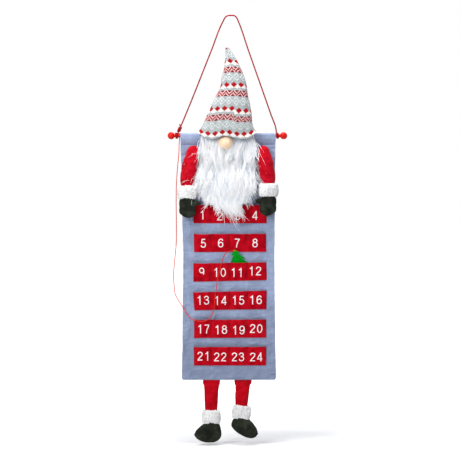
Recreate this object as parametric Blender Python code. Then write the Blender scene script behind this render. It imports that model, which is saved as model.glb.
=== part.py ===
"""Fabric advent calendar: a cloth banner on a rod, a stuffed figure and 24 felt pockets.

Metres, +Z up, front towards -Y. The origin is the hang point at the top of the hanging cord.
"""

import math

import bmesh
import bpy
from mathutils import Matrix, Vector
from mathutils.geometry import interpolate_bezier

TURN = 2 * math.pi
SMOOTH_LIMIT = math.radians(50)

# Gaps between pieces that touch
TOUCH_GAP = 0.0003
WINDING_GAP = 0.00045

# The banner: a front cloth folded over the rod and sewn down as a casing, and a lining behind it
BANNER_WIDTH = 0.2570
BANNER_LENGTH = 0.6590
BANNER_OFFSET = 0.0081
CLOTH_THICKNESS = 0.0018
LINING_THICKNESS = 0.0012
CASING_CLEARANCE = 0.0005
CASING_DROP = 0.0235
FLAP_DROP = 0.0050
RIPPLE_DEPTH = 0.0028
RIPPLE_COUNT = 3
BANNER_ROWS = 18
CASING_STEPS = 10
BANNER_COLUMN_SHARES = (0, 0.04, 0.08, 0.12, 0.16, 0.35, 0.55, 0.75, 0.89, 0.92, 0.95, 0.975, 1)
BANNER_EDGE_SHARES = (
    (0, 1.000, 1.000),
    (0.18, 0.975, 0.985),
    (0.50, 0.941, 0.977),
    (0.82, 0.955, 0.990),
    (1, 0.969, 1.008),
)

# The rod with a ball on each end, and how far it hangs below the hang point
HANG_DROP = 0.3245
ROD_DIAMETER = 0.0090
ROD_LEFT_END = 0.0246
ROD_RIGHT_END = 0.0216
ROD_CHAMFER = 0.0008
ROD_SIDES = 20
BALL_DIAMETER = 0.0200
BALL_STEPS = 9

# The cords: one over the hang point, and a thin one to the day marker
HANGING_CORD_DIAMETER = 0.0030
HANGING_CORD_POINTS = 68
MARKER_CORD_DIAMETER = 0.0018
MARKER_CORD_POINTS = 64
CORD_BEVEL_STEPS = 2
WINDING_BEVEL_STEPS = 1
CURVE_STEPS = 12
TURN_POINTS = 12
LEFT_TIE_TURNS = 2
RIGHT_TIE_TURNS = 1.5
MARKER_TIE_TURNS = 1
KNOT_CORD_DIAMETER = 0.0024
KNOT_TURNS = 5
KNOT_TURN_POINTS = 9
TAIL_LENGTH = 0.0085
MARKER_KNOT_DIAMETER = 0.0044
MARKER_CORD_STANDOFF = 0.0142

# The hanging cord's route: across in half widths of the banner, down in shares of the hang drop
HANGING_ROUTE_SHARES = (
    (-1.0973, 0.9615),
    (-1.0335, 0.9029),
    (-0.4078, 0.2872),
    (-0.1658, 0.0490),
    (-0.1113, 0.0117),
    (-0.0630, 0.0009),
    (0, 0),
    (0.0693, 0.0015),
    (0.1175, 0.0166),
    (0.1409, 0.0367),
    (0.3634, 0.2872),
    (0.8428, 0.8280),
    (0.9440, 0.9430),
)

# The marker cord's route: across in half widths of the banner, forward in stand-offs, down in banner lengths
MARKER_ROUTE_SHARES = (
    (-1.0249, 0.035, 0.0311),
    (-1.0319, 0.141, 0.0766),
    (-1.0545, 0.211, 0.1202),
    (-1.0809, 0.282, 0.1954),
    (-1.0872, 0.282, 0.2619),
    (-1.0825, 0.246, 0.3578),
    (-1.0825, 0.246, 0.4275),
    (-1.1222, 0.317, 0.5188),
    (-1.1432, 0.423, 0.5712),
    (-1.1307, 0.528, 0.6102),
    (-1.1035, 0.599, 0.6495),
    (-1.0148, 0.669, 0.6810),
    (-0.9354, 0.739, 0.7044),
    (-0.8553, 0.845, 0.7307),
    (-0.7479, 0.986, 0.7502),
    (-0.5735, 1.021, 0.7605),
    (-0.4661, 1.021, 0.7568),
    (-0.3868, 1.021, 0.7473),
    (-0.3191, 1.007, 0.7252),
    (-0.2856, 1.000, 0.6991),
    (-0.2708, 1.000, 0.6625),
    (-0.2374, 1.000, 0.6155),
    (-0.2125, 1.000, 0.5844),
    (-0.1580, 1.000, 0.5396),
    (-0.1237, 0.986, 0.5162),
    (-0.0778, 1.021, 0.4901),
    (-0.0171, 1.070, 0.4765),
)

# Six felt strips, sewn down at the ends, below and at three seams between
STRIP_WIDTH_SHARE = 0.7665
STRIP_HEIGHT = 0.0490
STRIP_OFFSET = 0.0056
FELT_THICKNESS = 0.0016
POCKET_DEPTH = 0.0080
POCKET_SQUARENESS = 4
POCKET_COLUMNS = 6
FIRST_ROW_SHARE = 0.2841
ROWS_SPAN_SHARE = 0.5809
ROW_DROP_SHARES = (0, 0.205, 0.406, 0.609, 0.809, 1)
SEAM_SHARES = (0, 0.248, 0.501, 0.742, 1)
POCKET_UP_SHARES = (0, 0.10, 0.28, 0.52, 0.76, 1)

# The stuffed hat, which leans, with a brim that arches over the nose
HAT_HEIGHT = 0.2335
HAT_WIDTH = 0.1614
HAT_DEPTH = 0.0420
HAT_SIDES = 32
HAT_OFFSET = 0.0027
HAT_DROP = -0.0055
BRIM_SAG = 0.0190
BRIM_CLEARANCE = 0.0016
BRIM_SAG_SHARES = (
    (0, 0.20),
    (0.04, 0.30),
    (0.125, 0.76),
    (0.276, 1),
    (0.364, 0.52),
    (0.485, 0.40),
    (0.603, 0.72),
    (0.694, 1),
    (0.873, 0.78),
    (1, 0.02),
)
HAT_STATION_SHARES = (
    (0.045, 0.000, 0.930, 0.86, 0.00),
    (0.127, 0.037, 0.800, 0.95, 0.08),
    (0.220, 0.087, 0.733, 1.00, 0.14),
    (0.324, 0.129, 0.646, 0.97, 0.15),
    (0.437, 0.169, 0.530, 0.88, 0.13),
    (0.550, 0.222, 0.433, 0.78, 0.09),
    (0.644, 0.201, 0.381, 0.68, 0.04),
    (0.726, 0.189, 0.303, 0.56, -0.02),
    (0.840, 0.132, 0.197, 0.38, -0.10),
    (0.960, 0.032, 0.084, 0.17, -0.20),
    (0.992, -0.009, 0.033, 0.07, -0.24),
)

# The nose, and the beard: a part sewn on under the brim and a free part that lifts
NOSE_WIDTH = 0.0400
NOSE_HEIGHT = 0.0360
NOSE_DEPTH = 0.0340
NOSE_DROP = 0.0185
NOSE_OFFSET = 0.0059
NOSE_STANDOFF = 0.0015
NOSE_SIDES = 20
NOSE_RINGS = 12
BEARD_WIDTH_SHARE = 0.5681
BEARD_OFFSET = 0.0009
BEARD_DEPTH = 0.0190
BEARD_SEAM_DROP = 0.0415
BEARD_LENGTH = 0.1960
BEARD_SIDES = 24
BEARD_SQUARENESS = 3
BEARD_TOP_WIDTH_SHARES = (0.98, 0.99, 0.985)
BEARD_STATION_SHARES = (
    (0.02, -0.490, 0.490, 0.00, 0.12),
    (0.06, -0.493, 0.493, 0.00, 0.30),
    (0.13, -0.496, 0.496, 0.02, 0.66),
    (0.21, -0.498, 0.498, 0.08, 0.95),
    (0.38, -0.493, 0.493, 0.26, 1.26),
    (0.54, -0.480, 0.470, 0.44, 1.50),
    (0.69, -0.430, 0.380, 0.59, 1.62),
    (0.81, -0.340, 0.285, 0.62, 1.54),
    (0.91, -0.165, 0.205, 0.66, 1.36),
    (0.985, 0.020, 0.140, 0.74, 1.14),
)

# Seams at which the soft limbs swing: each limb is pinched flat there
SEAM_RADIUS = 0.0018
SEAM_STEPS = 3
LIMB_SIDES = 16
LIMB_SQUARENESS = 2.3
INSET = 0.0050

# The arms: sleeve, cuff and mitten, which hang from the shoulders
SHOULDER_DROP = 0.0310
SHOULDER_SPREAD_SHARE = 0.3541
SHOULDER_OFFSET = 0.0011
LEFT_SLEEVE_LENGTH = 0.1050
RIGHT_SLEEVE_LENGTH = 0.0995
LEFT_ARM_LEAN = 0.0200
RIGHT_ARM_LEAN = 0.0165
SLEEVE_WIDTH = 0.0445
SLEEVE_DEPTH = 0.0320
ARM_CUFF_WIDTH = 0.0510
ARM_CUFF_HEIGHT = 0.0345
ARM_CUFF_DEPTH = 0.0380
MITTEN_WIDTH = 0.0435
MITTEN_LENGTH = 0.0515
MITTEN_DEPTH = 0.0210
MITTEN_BACK = 0.0125
THUMB_REACH = 0.0360
THUMB_DROP = 0.0124
THUMB_LENGTH = 0.0260
THUMB_THICKNESS = 0.0150
THUMB_SIDES = 12
THUMB_TILT = math.radians(12)
SLEEVE_SHARES = (
    (0, 0.03, 0.53, 0.00, 0.112),
    (0.09, 0.22, 0.77, 0.00, 0.50),
    (0.27, 0.40, 0.89, 0.00, 0.86),
    (0.43, 0.58, 0.96, 0.00, 0.98),
    (0.65, 0.78, 1.00, 0.01, 1.00),
    (0.85, 0.92, 0.92, 0.04, 0.98),
    (1, 1.00, 0.73, 0.12, 0.92),
)
MITTEN_SHARES = (
    (0.10, 0.00, 0.95, 0.02, 0.94),
    (0.30, 0.01, 1.00, 0.00, 1.00),
    (0.55, 0.03, 0.95, 0.03, 0.98),
    (0.76, 0.06, 0.78, 0.10, 0.90),
    (0.91, 0.10, 0.50, 0.22, 0.76),
    (0.99, 0.12, 0.20, 0.36, 0.62),
)
CUFF_SHARES = ((0, 0.86), (0.12, 0.96), (0.35, 1), (0.65, 1), (0.88, 0.96), (1, 0.86))

# The legs: felt leg, cuff and boot, which hang from the bottom hem
LEG_SPREAD_SHARE = 0.1658
LEG_OFFSET = -0.0021
LEFT_LEG_LENGTH = 0.0785
RIGHT_LEG_LENGTH = 0.0660
LEFT_LEG_LEAN = 0.0005
RIGHT_LEG_LEAN = -0.0045
LEG_WIDTH = 0.0355
LEG_DEPTH = 0.0280
LEG_CUFF_WIDTH = 0.0493
LEG_CUFF_HEIGHT = 0.0360
LEG_CUFF_DEPTH = 0.0360
BOOT_LENGTH = 0.0715
LEFT_BOOT_HEIGHT = 0.0500
RIGHT_BOOT_HEIGHT = 0.0420
LEFT_TOE_DROP = 0.0000
RIGHT_TOE_DROP = 0.0320
BOOT_DEPTH = 0.0370
BOOT_BACK = 0.0060
LEG_SHARES = (
    (0, 0.00, 1.34, 0.064, 0.064),
    (0.04, 0.02, 1.34, 0.064, 0.064),
    (0.09, 0.06, 1.28, 0.075, 0.090),
    (0.20, 0.16, 1.06, 0.140, 0.400),
    (0.40, 0.36, 0.99, 0.180, 0.680),
    (0.72, 0.70, 1.02, 0.180, 0.820),
    (1, 1.00, 0.93, 0.120, 0.780),
)
BOOT_SHARES = (
    (0.04, -0.300, 0.30, 0.05, 0.90),
    (0.18, -0.335, 0.42, 0.01, 0.97),
    (0.38, -0.360, 0.56, 0.00, 1.00),
    (0.60, -0.375, 0.63, 0.00, 1.00),
    (0.78, -0.335, 0.55, 0.04, 0.96),
    (0.91, -0.240, 0.42, 0.15, 0.85),
    (1, -0.110, 0.24, 0.30, 0.70),
)

# The felt tree that marks the day, tucked in a pocket of the third row
ROWS_ABOVE_TREE_COUNT = 2
TREE_HEIGHT = 0.0550
TREE_WIDTH_SHARE = 0.2386
TREE_THICKNESS = 0.0020
TREE_TILT = math.radians(20)
TREE_LEAN = math.radians(15)
TREE_TIP_SHARE = 0.0487
TREE_TIP_RISE = 0.0367
TRUNK_WIDTH = 0.0080
TREE_OUTLINE_SHARES = ((0.012, 0.02), (0.265, 0.52), (0.275, 0.27), (0.56, 0.86), (0.57, 0.47), (0.82, 1))

# Colours and roughness
CHAMBRAY = (0.262, 0.332, 0.515)
DARK_CHAMBRAY = (0.215, 0.275, 0.430)
FELT_RED = (0.578, 0.001, 0.013)
FLEECE_RED = (0.680, 0.004, 0.023)
SHERPA_WHITE = (0.860, 0.870, 0.880)
BEARD_WHITE = (0.800, 0.850, 0.900)
NEARLY_BLACK = (0.017, 0.020, 0.013)
SKIN = (0.940, 0.720, 0.520)
KNIT = (0.420, 0.330, 0.350)
PAINT_RED = (0.740, 0.005, 0.005)
CORD_RED = (0.432, 0.030, 0.040)
CORD_ORANGE = (0.871, 0.117, 0.045)
TREE_GREEN = (0.001, 0.323, 0.009)
SOFT = 0.95
GLOSSY = 0.18

# Sizes that go with the banner's width or length
STRIP_WIDTH = BANNER_WIDTH * STRIP_WIDTH_SHARE
BEARD_WIDTH = BANNER_WIDTH * BEARD_WIDTH_SHARE
SHOULDER_SPREAD = BANNER_WIDTH * SHOULDER_SPREAD_SHARE
LEG_SPREAD = BANNER_WIDTH * LEG_SPREAD_SHARE
TREE_WIDTH = STRIP_WIDTH * TREE_WIDTH_SHARE
TREE_TIP_RIGHT = STRIP_WIDTH * TREE_TIP_SHARE
FIRST_ROW_DROP = BANNER_LENGTH * FIRST_ROW_SHARE
ROWS_SPAN = BANNER_LENGTH * ROWS_SPAN_SHARE

# Places that several pieces share
ROD_Z = -HANG_DROP
BANNER_X = -BANNER_OFFSET
BANNER_BOTTOM = ROD_Z - BANNER_LENGTH
STITCH_Z = ROD_Z - CASING_DROP
BANNER_FRONT = -(TOUCH_GAP / 2 + CLOTH_THICKNESS)
SEAT_Y = BANNER_FRONT - TOUCH_GAP
CASING_RADIUS = ROD_DIAMETER / 2 + CASING_CLEARANCE + CLOTH_THICKNESS / 2
CASING_FRONT = -(CASING_RADIUS + CLOTH_THICKNESS / 2 + TOUCH_GAP)
STRIP_X = BANNER_X + STRIP_OFFSET
STRIP_LEFT = STRIP_X - STRIP_WIDTH / 2
STRIP_RIGHT = STRIP_X + STRIP_WIDTH / 2
HANDS_BOTTOM = ROD_Z - SHOULDER_DROP - LEFT_SLEEVE_LENGTH - ARM_CUFF_HEIGHT - MITTEN_LENGTH
ROD_LEFT = BANNER_X - BANNER_WIDTH / 2 - ROD_LEFT_END
ROD_RIGHT = BANNER_X + BANNER_WIDTH / 2 + ROD_RIGHT_END
SHOULDER_X = BANNER_X + SHOULDER_OFFSET
LEG_X = BANNER_X + LEG_OFFSET
HAT_X = BANNER_X - HAT_OFFSET
NOSE_X = BANNER_X - NOSE_OFFSET
BEARD_X = BANNER_X - BEARD_OFFSET


def clear_scene():
    for item in list(bpy.data.objects):
        bpy.data.objects.remove(item, do_unlink=True)


def finished(name, data, colour, roughness, pivot=None):
    """An object for data, in its own material, with its origin on the pivot that it turns on."""
    material = bpy.data.materials.new(name)
    material.use_nodes = True
    shader = material.node_tree.nodes["Principled BSDF"]
    shader.inputs["Base Color"].default_value = (*colour, 1)
    shader.inputs["Roughness"].default_value = roughness
    shader.inputs["Metallic"].default_value = 0
    data.materials.append(material)
    item = bpy.data.objects.new(name, data)
    bpy.context.scene.collection.objects.link(item)
    if pivot is not None:
        data.transform(Matrix.Translation(-pivot.location))
        item.parent = pivot
    return item


def pivot_at(name, place):
    """An empty on a joint's axis, which carries the pieces that move together."""
    pivot = bpy.data.objects.new(name, None)
    pivot.location = place
    bpy.context.scene.collection.objects.link(pivot)
    return pivot


def mesh_from(name, builder):
    """A mesh from a bmesh builder, faces outwards and shaded smooth up to sharp edges."""
    bmesh.ops.recalc_face_normals(builder, faces=builder.faces)
    mesh = bpy.data.meshes.new(name)
    builder.to_mesh(mesh)
    builder.free()
    mesh.shade_smooth()
    mesh.set_sharp_from_angle(angle=SMOOTH_LIMIT)
    return mesh


def close_across(builder, loop):
    """Closes a ring with strips from its front points to the back points beside them."""
    count = len(loop)
    for index in range(count // 2):
        corners = [loop[index], loop[index + 1], loop[count - index - 1], loop[-index]]
        builder.faces.new(list(dict.fromkeys(corners)))


def close_to(builder, loop, pole):
    tip = builder.verts.new(pole)
    for start, end in zip(loop, loop[1:] + loop[:1]):
        builder.faces.new((start, end, tip))


def loft(name, rings, poles=(None, None)):
    """A closed mesh through rings of the same count, each end closed across or drawn to its pole."""
    builder = bmesh.new()
    loops = [[builder.verts.new(point) for point in ring] for ring in rings]
    for upper, lower in zip(loops, loops[1:]):
        for index, corner in enumerate(upper):
            after = (index + 1) % len(upper)
            builder.faces.new((corner, upper[after], lower[after], lower[index]))
    for loop, pole in zip((loops[0], loops[-1]), poles):
        if pole is None:
            close_across(builder, loop)
        else:
            close_to(builder, loop, pole)
    return mesh_from(name, builder)


def sheet(name, front, back):
    """A closed mesh between two grids of points, front and back, with the same rows and columns."""
    builder = bmesh.new()
    sides = [[[builder.verts.new(point) for point in row] for row in grid] for grid in (front, back)]
    for grid in sides:
        for row, after in zip(grid, grid[1:]):
            for index in range(len(row) - 1):
                builder.faces.new((row[index], row[index + 1], after[index + 1], after[index]))
    rims = [
        grid[0] + [row[-1] for row in grid[1:-1]] + grid[-1][::-1] + [row[0] for row in grid[-2:0:-1]]
        for grid in sides
    ]
    count = len(rims[0])
    for index in range(count):
        after = (index + 1) % count
        builder.faces.new((rims[0][index], rims[0][after], rims[1][after], rims[1][index]))
    return mesh_from(name, builder)


def rounded(value, squareness):
    return math.copysign(abs(value) ** (2 / squareness), value)


def ring_at(z, left, right, back, front, sides, squareness=2):
    """A level ring between left and right and between back and front."""
    ring = []
    for step in range(sides):
        angle = TURN * step / sides
        across = rounded(math.cos(angle), squareness)
        forward = rounded(math.sin(angle), squareness)
        x = (left + right) / 2 + (right - left) / 2 * across
        y = (back + front) / 2 + (front - back) / 2 * forward
        ring.append(Vector((x, y, z)))
    return ring


def moved(ring, shift):
    return [point + shift for point in ring]


def grown(ring, gap):
    """The ring, level and wider by gap all round."""
    middle = sum(ring, Vector()) / len(ring)
    half_width = max(point.x - middle.x for point in ring)
    half_depth = max(point.y - middle.y for point in ring)
    wider = []
    for point in ring:
        offset = point - middle
        offset.x *= 1 + gap / half_width
        offset.y *= 1 + gap / half_depth
        wider.append(middle + offset)
    return wider


def pinched_rings(axis_y, axis_z, left, right, sides):
    """The round top of a seam: rings of half a cylinder round the axis that the piece swings on."""
    rings = []
    for step in range(1, SEAM_STEPS):
        angle = TURN / 4 * step / SEAM_STEPS
        depth = SEAM_RADIUS * math.sin(angle)
        z = axis_z + SEAM_RADIUS * math.cos(angle)
        rings.append(ring_at(z, left, right, axis_y + depth, axis_y - depth, sides, LIMB_SQUARENESS))
    return rings


def between(table, share):
    """The row of a table of shares at a given first share, eased from row to row."""
    for start, end in zip(table, table[1:]):
        if share <= end[0]:
            break
    part = min(max((share - start[0]) / (end[0] - start[0]), 0), 1)
    eased = (1 - math.cos(math.pi * part)) / 2
    return [low + (high - low) * eased for low, high in zip(start[1:], end[1:])]


def evenly_spaced(dense, count):
    """count points along a line of many points, at equal steps of its length."""
    marks = [0.0]
    for start, end in zip(dense, dense[1:]):
        marks.append(marks[-1] + (end - start).length)
    points = []
    index = 0
    for step in range(count):
        target = marks[-1] * step / (count - 1)
        while index < len(dense) - 2 and marks[index + 1] < target:
            index += 1
        part = (target - marks[index]) / (marks[index + 1] - marks[index])
        points.append(dense[index].lerp(dense[index + 1], min(part, 1)))
    return points


def smooth_path(route, count):
    """count points on a smooth curve through the route's points."""
    spans = [(end - start).length for start, end in zip(route, route[1:])]
    slopes = [(end - start) / span for start, end, span in zip(route, route[1:], spans)]
    tangents = [slopes[0]]
    for before, after, span, next_span in zip(slopes, slopes[1:], spans, spans[1:]):
        tangents.append((before * next_span + after * span) / (span + next_span))
    tangents.append(slopes[-1])
    dense = []
    for index, span in enumerate(spans):
        start, end = route[index], route[index + 1]
        leaving = start + tangents[index] * span / 3
        arriving = end - tangents[index + 1] * span / 3
        dense += interpolate_bezier(start, leaving, arriving, end, CURVE_STEPS)[:-1]
    dense.append(route[-1])
    return evenly_spaced(dense, count)


def tube(name, points, diameter, rounding):
    """A cord's solid: a round section along the points, with closed ends."""
    curve = bpy.data.curves.new(name, "CURVE")
    curve.dimensions = "3D"
    curve.bevel_depth = diameter / 2
    curve.bevel_resolution = rounding
    curve.use_fill_caps = True
    spline = curve.splines.new("POLY")
    spline.points.add(len(points) - 1)
    for place, point in zip(spline.points, points):
        place.co = (*point, 1)
    return curve


def winding(start, along, side, radius, pitch, turns, turn_points):
    """Points of a winding round the line from start: it begins on the side given."""
    across = along.cross(side)
    points = []
    for step in range(round(turns * turn_points) + 1):
        share = step / turn_points
        spoke = side * math.cos(TURN * share) + across * math.sin(TURN * share)
        points.append(start + along * pitch * share + spoke * radius)
    return points


def print_least_gap(name, points, diameter, turn_points):
    """Measures on the points how near a winding's turns come to each other, and prints it."""
    apart = turn_points // 2
    least = min(
        (first - second).length
        for index, first in enumerate(points)
        for second in points[index + apart :]
    )
    print(f"{name}: least gap between turns {least - diameter:.5f} m")


def banner_edges(z):
    """The banner's left and right edges at a height: drawn in a little at the waist."""
    left, right = between(BANNER_EDGE_SHARES, (ROD_Z - z) / BANNER_LENGTH)
    return BANNER_X - BANNER_WIDTH / 2 * left, BANNER_X + BANNER_WIDTH / 2 * right


def ripple(x, z):
    """How far the cloth's margins wave forwards, below the hands and outside the strips."""
    if z > HANDS_BOTTOM or STRIP_LEFT <= x <= STRIP_RIGHT:
        return 0
    left, right = banner_edges(z)
    if x < STRIP_LEFT:
        outside = (STRIP_LEFT - x) / (STRIP_LEFT - left)
    else:
        outside = (x - STRIP_RIGHT) / (right - STRIP_RIGHT)
    down = (HANDS_BOTTOM - z) / (HANDS_BOTTOM - BANNER_BOTTOM)
    wave = (1 - math.cos(TURN * RIPPLE_COUNT * down)) / 2
    return -RIPPLE_DEPTH * wave * min(outside, 1) ** 2


def banner_profile():
    """(y, z) along the middle of the front cloth: up from the hem, round the rod and down the flap."""
    half_gap = (TOUCH_GAP + CLOTH_THICKNESS) / 2
    profile = []
    for row in range(BANNER_ROWS + 1):
        profile.append((-half_gap, BANNER_BOTTOM + (STITCH_Z - BANNER_BOTTOM) * row / BANNER_ROWS))
    tangent = math.acos(CASING_RADIUS / math.hypot(half_gap, CASING_DROP))
    for step in range(CASING_STEPS + 1):
        angle = tangent + (TURN - 2 * tangent) * step / CASING_STEPS
        profile.append((-CASING_RADIUS * math.sin(angle), ROD_Z - CASING_RADIUS * math.cos(angle)))
    profile.append((half_gap, STITCH_Z))
    profile.append((half_gap, STITCH_Z - FLAP_DROP))
    return profile


def offset_profile(profile, distance):
    """The profile moved sideways: to its left, seen along it, where distance is positive."""
    moved_profile = []
    last = len(profile) - 1
    for index, (y, z) in enumerate(profile):
        before = profile[max(index - 1, 0)]
        after = profile[min(index + 1, last)]
        rise = after[1] - before[1]
        forward = after[0] - before[0]
        run = math.hypot(forward, rise)
        moved_profile.append((y - rise / run * distance, z + forward / run * distance))
    return moved_profile


def cloth_grid(profile):
    """Points across the banner for each (y, z) of a profile, with the margins' ripple."""
    grid = []
    for y, z in profile:
        left, right = banner_edges(max(min(z, ROD_Z), BANNER_BOTTOM))
        places = [left + (right - left) * share for share in BANNER_COLUMN_SHARES]
        grid.append([Vector((x, y + ripple(x, z), z)) for x in places])
    return grid


def make_banner():
    profile = banner_profile()
    outer = cloth_grid(offset_profile(profile, CLOTH_THICKNESS / 2))
    inner = cloth_grid(offset_profile(profile, -CLOTH_THICKNESS / 2))
    finished("banner", sheet("banner", outer, inner), CHAMBRAY, SOFT)


def make_lining():
    """The lining runs from just below the casing's flap down to the hem."""
    top = STITCH_Z - FLAP_DROP - TOUCH_GAP
    heights = [BANNER_BOTTOM + (top - BANNER_BOTTOM) * row / BANNER_ROWS for row in range(BANNER_ROWS + 1)]
    front = cloth_grid([(TOUCH_GAP / 2, z) for z in heights])
    back = cloth_grid([(TOUCH_GAP / 2 + LINING_THICKNESS, z) for z in heights])
    finished("back_lining", sheet("back_lining", front, back), DARK_CHAMBRAY, SOFT)


def make_rod(pivot):
    """The rod, with chamfered ends that reach the middle of each ball."""
    radius = ROD_DIAMETER / 2
    stations = (
        (ROD_LEFT, radius - ROD_CHAMFER),
        (ROD_LEFT + ROD_CHAMFER, radius),
        (ROD_RIGHT - ROD_CHAMFER, radius),
        (ROD_RIGHT, radius - ROD_CHAMFER),
    )
    rings = [turned_ring(x, size) for x, size in stations]
    finished("dowel", loft("dowel", rings), PAINT_RED, GLOSSY, pivot)


def turned_ring(x, radius):
    """A ring round the rod's axis."""
    angles = [TURN * step / ROD_SIDES for step in range(ROD_SIDES)]
    return [Vector((x, radius * math.sin(angle), ROD_Z + radius * math.cos(angle))) for angle in angles]


def make_ball(name, centre_x, outward, pivot):
    """A ball with a blind bore that takes the rod's end."""
    radius = BALL_DIAMETER / 2
    bore = ROD_DIAMETER / 2 + TOUCH_GAP
    mouth = math.asin(bore / radius)
    rings = []
    for step in range(1, BALL_STEPS + 1):
        angle = (math.pi - mouth) * step / BALL_STEPS
        rings.append(turned_ring(centre_x + outward * radius * math.cos(angle), radius * math.sin(angle)))
    bore_end = centre_x + outward * TOUCH_GAP
    rings.append(turned_ring(bore_end, bore))
    poles = (Vector((centre_x + outward * radius, 0, ROD_Z)), Vector((bore_end, 0, ROD_Z)))
    finished(name, loft(name, rings, poles), PAINT_RED, GLOSSY, pivot)


def rod_winding_radius(diameter):
    """The radius of a cord's winding that clears the rod also between its points."""
    return (ROD_DIAMETER / 2 + TOUCH_GAP + diameter / 2) / math.cos(math.pi / TURN_POINTS)


def make_rod_tie(name, start_x, diameter, turns, colour):
    """A few turns of cord round the rod, as one unbroken tube that begins at the top."""
    radius = rod_winding_radius(diameter)
    start = Vector((start_x, 0, ROD_Z))
    pitch = diameter + WINDING_GAP
    points = winding(start, Vector((1, 0, 0)), Vector((0, 0, 1)), radius, pitch, turns, TURN_POINTS)
    print_least_gap(name, points, diameter, TURN_POINTS)
    finished(name, tube(name, points, diameter, WINDING_BEVEL_STEPS), colour, SOFT)


def make_hanging_cord():
    """The cord over the hang point, down to both ties, with a wrapped knot above the left one."""
    left_edge = BANNER_X - BANNER_WIDTH / 2
    right_edge = BANNER_X + BANNER_WIDTH / 2
    marker_tie_x = left_edge - TOUCH_GAP - MARKER_CORD_DIAMETER / 2 - MARKER_TIE_TURNS * (
        MARKER_CORD_DIAMETER + WINDING_GAP
    )
    left_tie_end = marker_tie_x - MARKER_CORD_DIAMETER / 2 - TOUCH_GAP - HANGING_CORD_DIAMETER / 2
    left_tie_x = left_tie_end - LEFT_TIE_TURNS * (HANGING_CORD_DIAMETER + WINDING_GAP)
    right_tie_x = right_edge + 2 * TOUCH_GAP + HANGING_CORD_DIAMETER / 2
    make_rod_tie("cord_tie_left", left_tie_x, HANGING_CORD_DIAMETER, LEFT_TIE_TURNS, CORD_RED)
    make_rod_tie("cord_tie_right", right_tie_x, HANGING_CORD_DIAMETER, RIGHT_TIE_TURNS, CORD_RED)
    make_rod_tie("marker_tie", marker_tie_x, MARKER_CORD_DIAMETER, MARKER_TIE_TURNS, CORD_ORANGE)

    tie_top = ROD_Z + rod_winding_radius(HANGING_CORD_DIAMETER) + HANGING_CORD_DIAMETER / 2 + TOUCH_GAP
    left_end = Vector((left_tie_end, 0, tie_top))
    right_end = Vector((right_tie_x, 0, tie_top))
    route = [left_end]
    for across, down in HANGING_ROUTE_SHARES:
        route.append(Vector((BANNER_WIDTH / 2 * across, 0, ROD_Z * down)))
    route.append(right_end)
    points = smooth_path(route, HANGING_CORD_POINTS)
    cord = tube("hanging_cord", points, HANGING_CORD_DIAMETER, CORD_BEVEL_STEPS)
    finished("hanging_cord", cord, CORD_RED, SOFT)
    make_left_knot(points)


def make_left_knot(cord_points):
    """A wrapped knot round the hanging cord above the left tie, one tube that ends in a short tail."""
    low = cord_points[0] + (cord_points[3] - cord_points[0]).normalized() * KNOT_CORD_DIAMETER
    along = (cord_points[3] - low).normalized()
    side = Vector((0, 1, 0))
    inner = HANGING_CORD_DIAMETER / 2 + 2 * TOUCH_GAP + KNOT_CORD_DIAMETER / 2
    radius = inner / math.cos(math.pi / KNOT_TURN_POINTS)
    pitch = KNOT_CORD_DIAMETER + WINDING_GAP
    points = winding(low, along, side, radius, pitch, KNOT_TURNS, KNOT_TURN_POINTS)
    print_least_gap("cord_knot_left", points, KNOT_CORD_DIAMETER, KNOT_TURN_POINTS)
    leaving = (points[-1] - points[-2]).normalized() + along
    points.append(points[-1] + leaving.normalized() * TAIL_LENGTH)
    knot = tube("cord_knot_left", points, KNOT_CORD_DIAMETER, WINDING_BEVEL_STEPS)
    finished("cord_knot_left", knot, CORD_RED, SOFT)


def pocket_bulge(across, up):
    """How far a pocket stands off the banner: across from -1 to 1 between seams, up from 0 to 1."""
    return POCKET_DEPTH * (1 - abs(across) ** POCKET_SQUARENESS) * (1 - (1 - up) ** 2)


def make_pocket_row(number, top):
    """One strip of felt that forms four pockets, open at the top."""
    places = []
    for start, end in zip(SEAM_SHARES, SEAM_SHARES[1:]):
        for column in range(POCKET_COLUMNS):
            across = 2 * column / POCKET_COLUMNS - 1
            share = start + (end - start) * column / POCKET_COLUMNS
            places.append((STRIP_LEFT + STRIP_WIDTH * share, across))
    places.append((STRIP_RIGHT, 1))
    front = []
    back = []
    for up in POCKET_UP_SHARES:
        z = top - STRIP_HEIGHT * (1 - up)
        inner = [Vector((x, SEAT_Y - pocket_bulge(across, up), z)) for x, across in places]
        back.append(inner)
        front.append(moved(inner, Vector((0, -FELT_THICKNESS, 0))))
    name = f"pocket_row_{number}"
    finished(name, sheet(name, front, back), FELT_RED, SOFT)


def row_top(row):
    return ROD_Z - FIRST_ROW_DROP - ROWS_SPAN * ROW_DROP_SHARES[row]


def brim_edge(x):
    """The height of the brim's lower edge: it sags beside the nose and arches over it."""
    share = (x - HAT_X) / HAT_WIDTH + 1 / 2
    sag = between(BRIM_SAG_SHARES, min(max(share, 0), 1))[0]
    return ROD_Z - HAT_DROP - BRIM_SAG * sag + BRIM_SAG * BRIM_SAG_SHARES[0][1]


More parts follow.
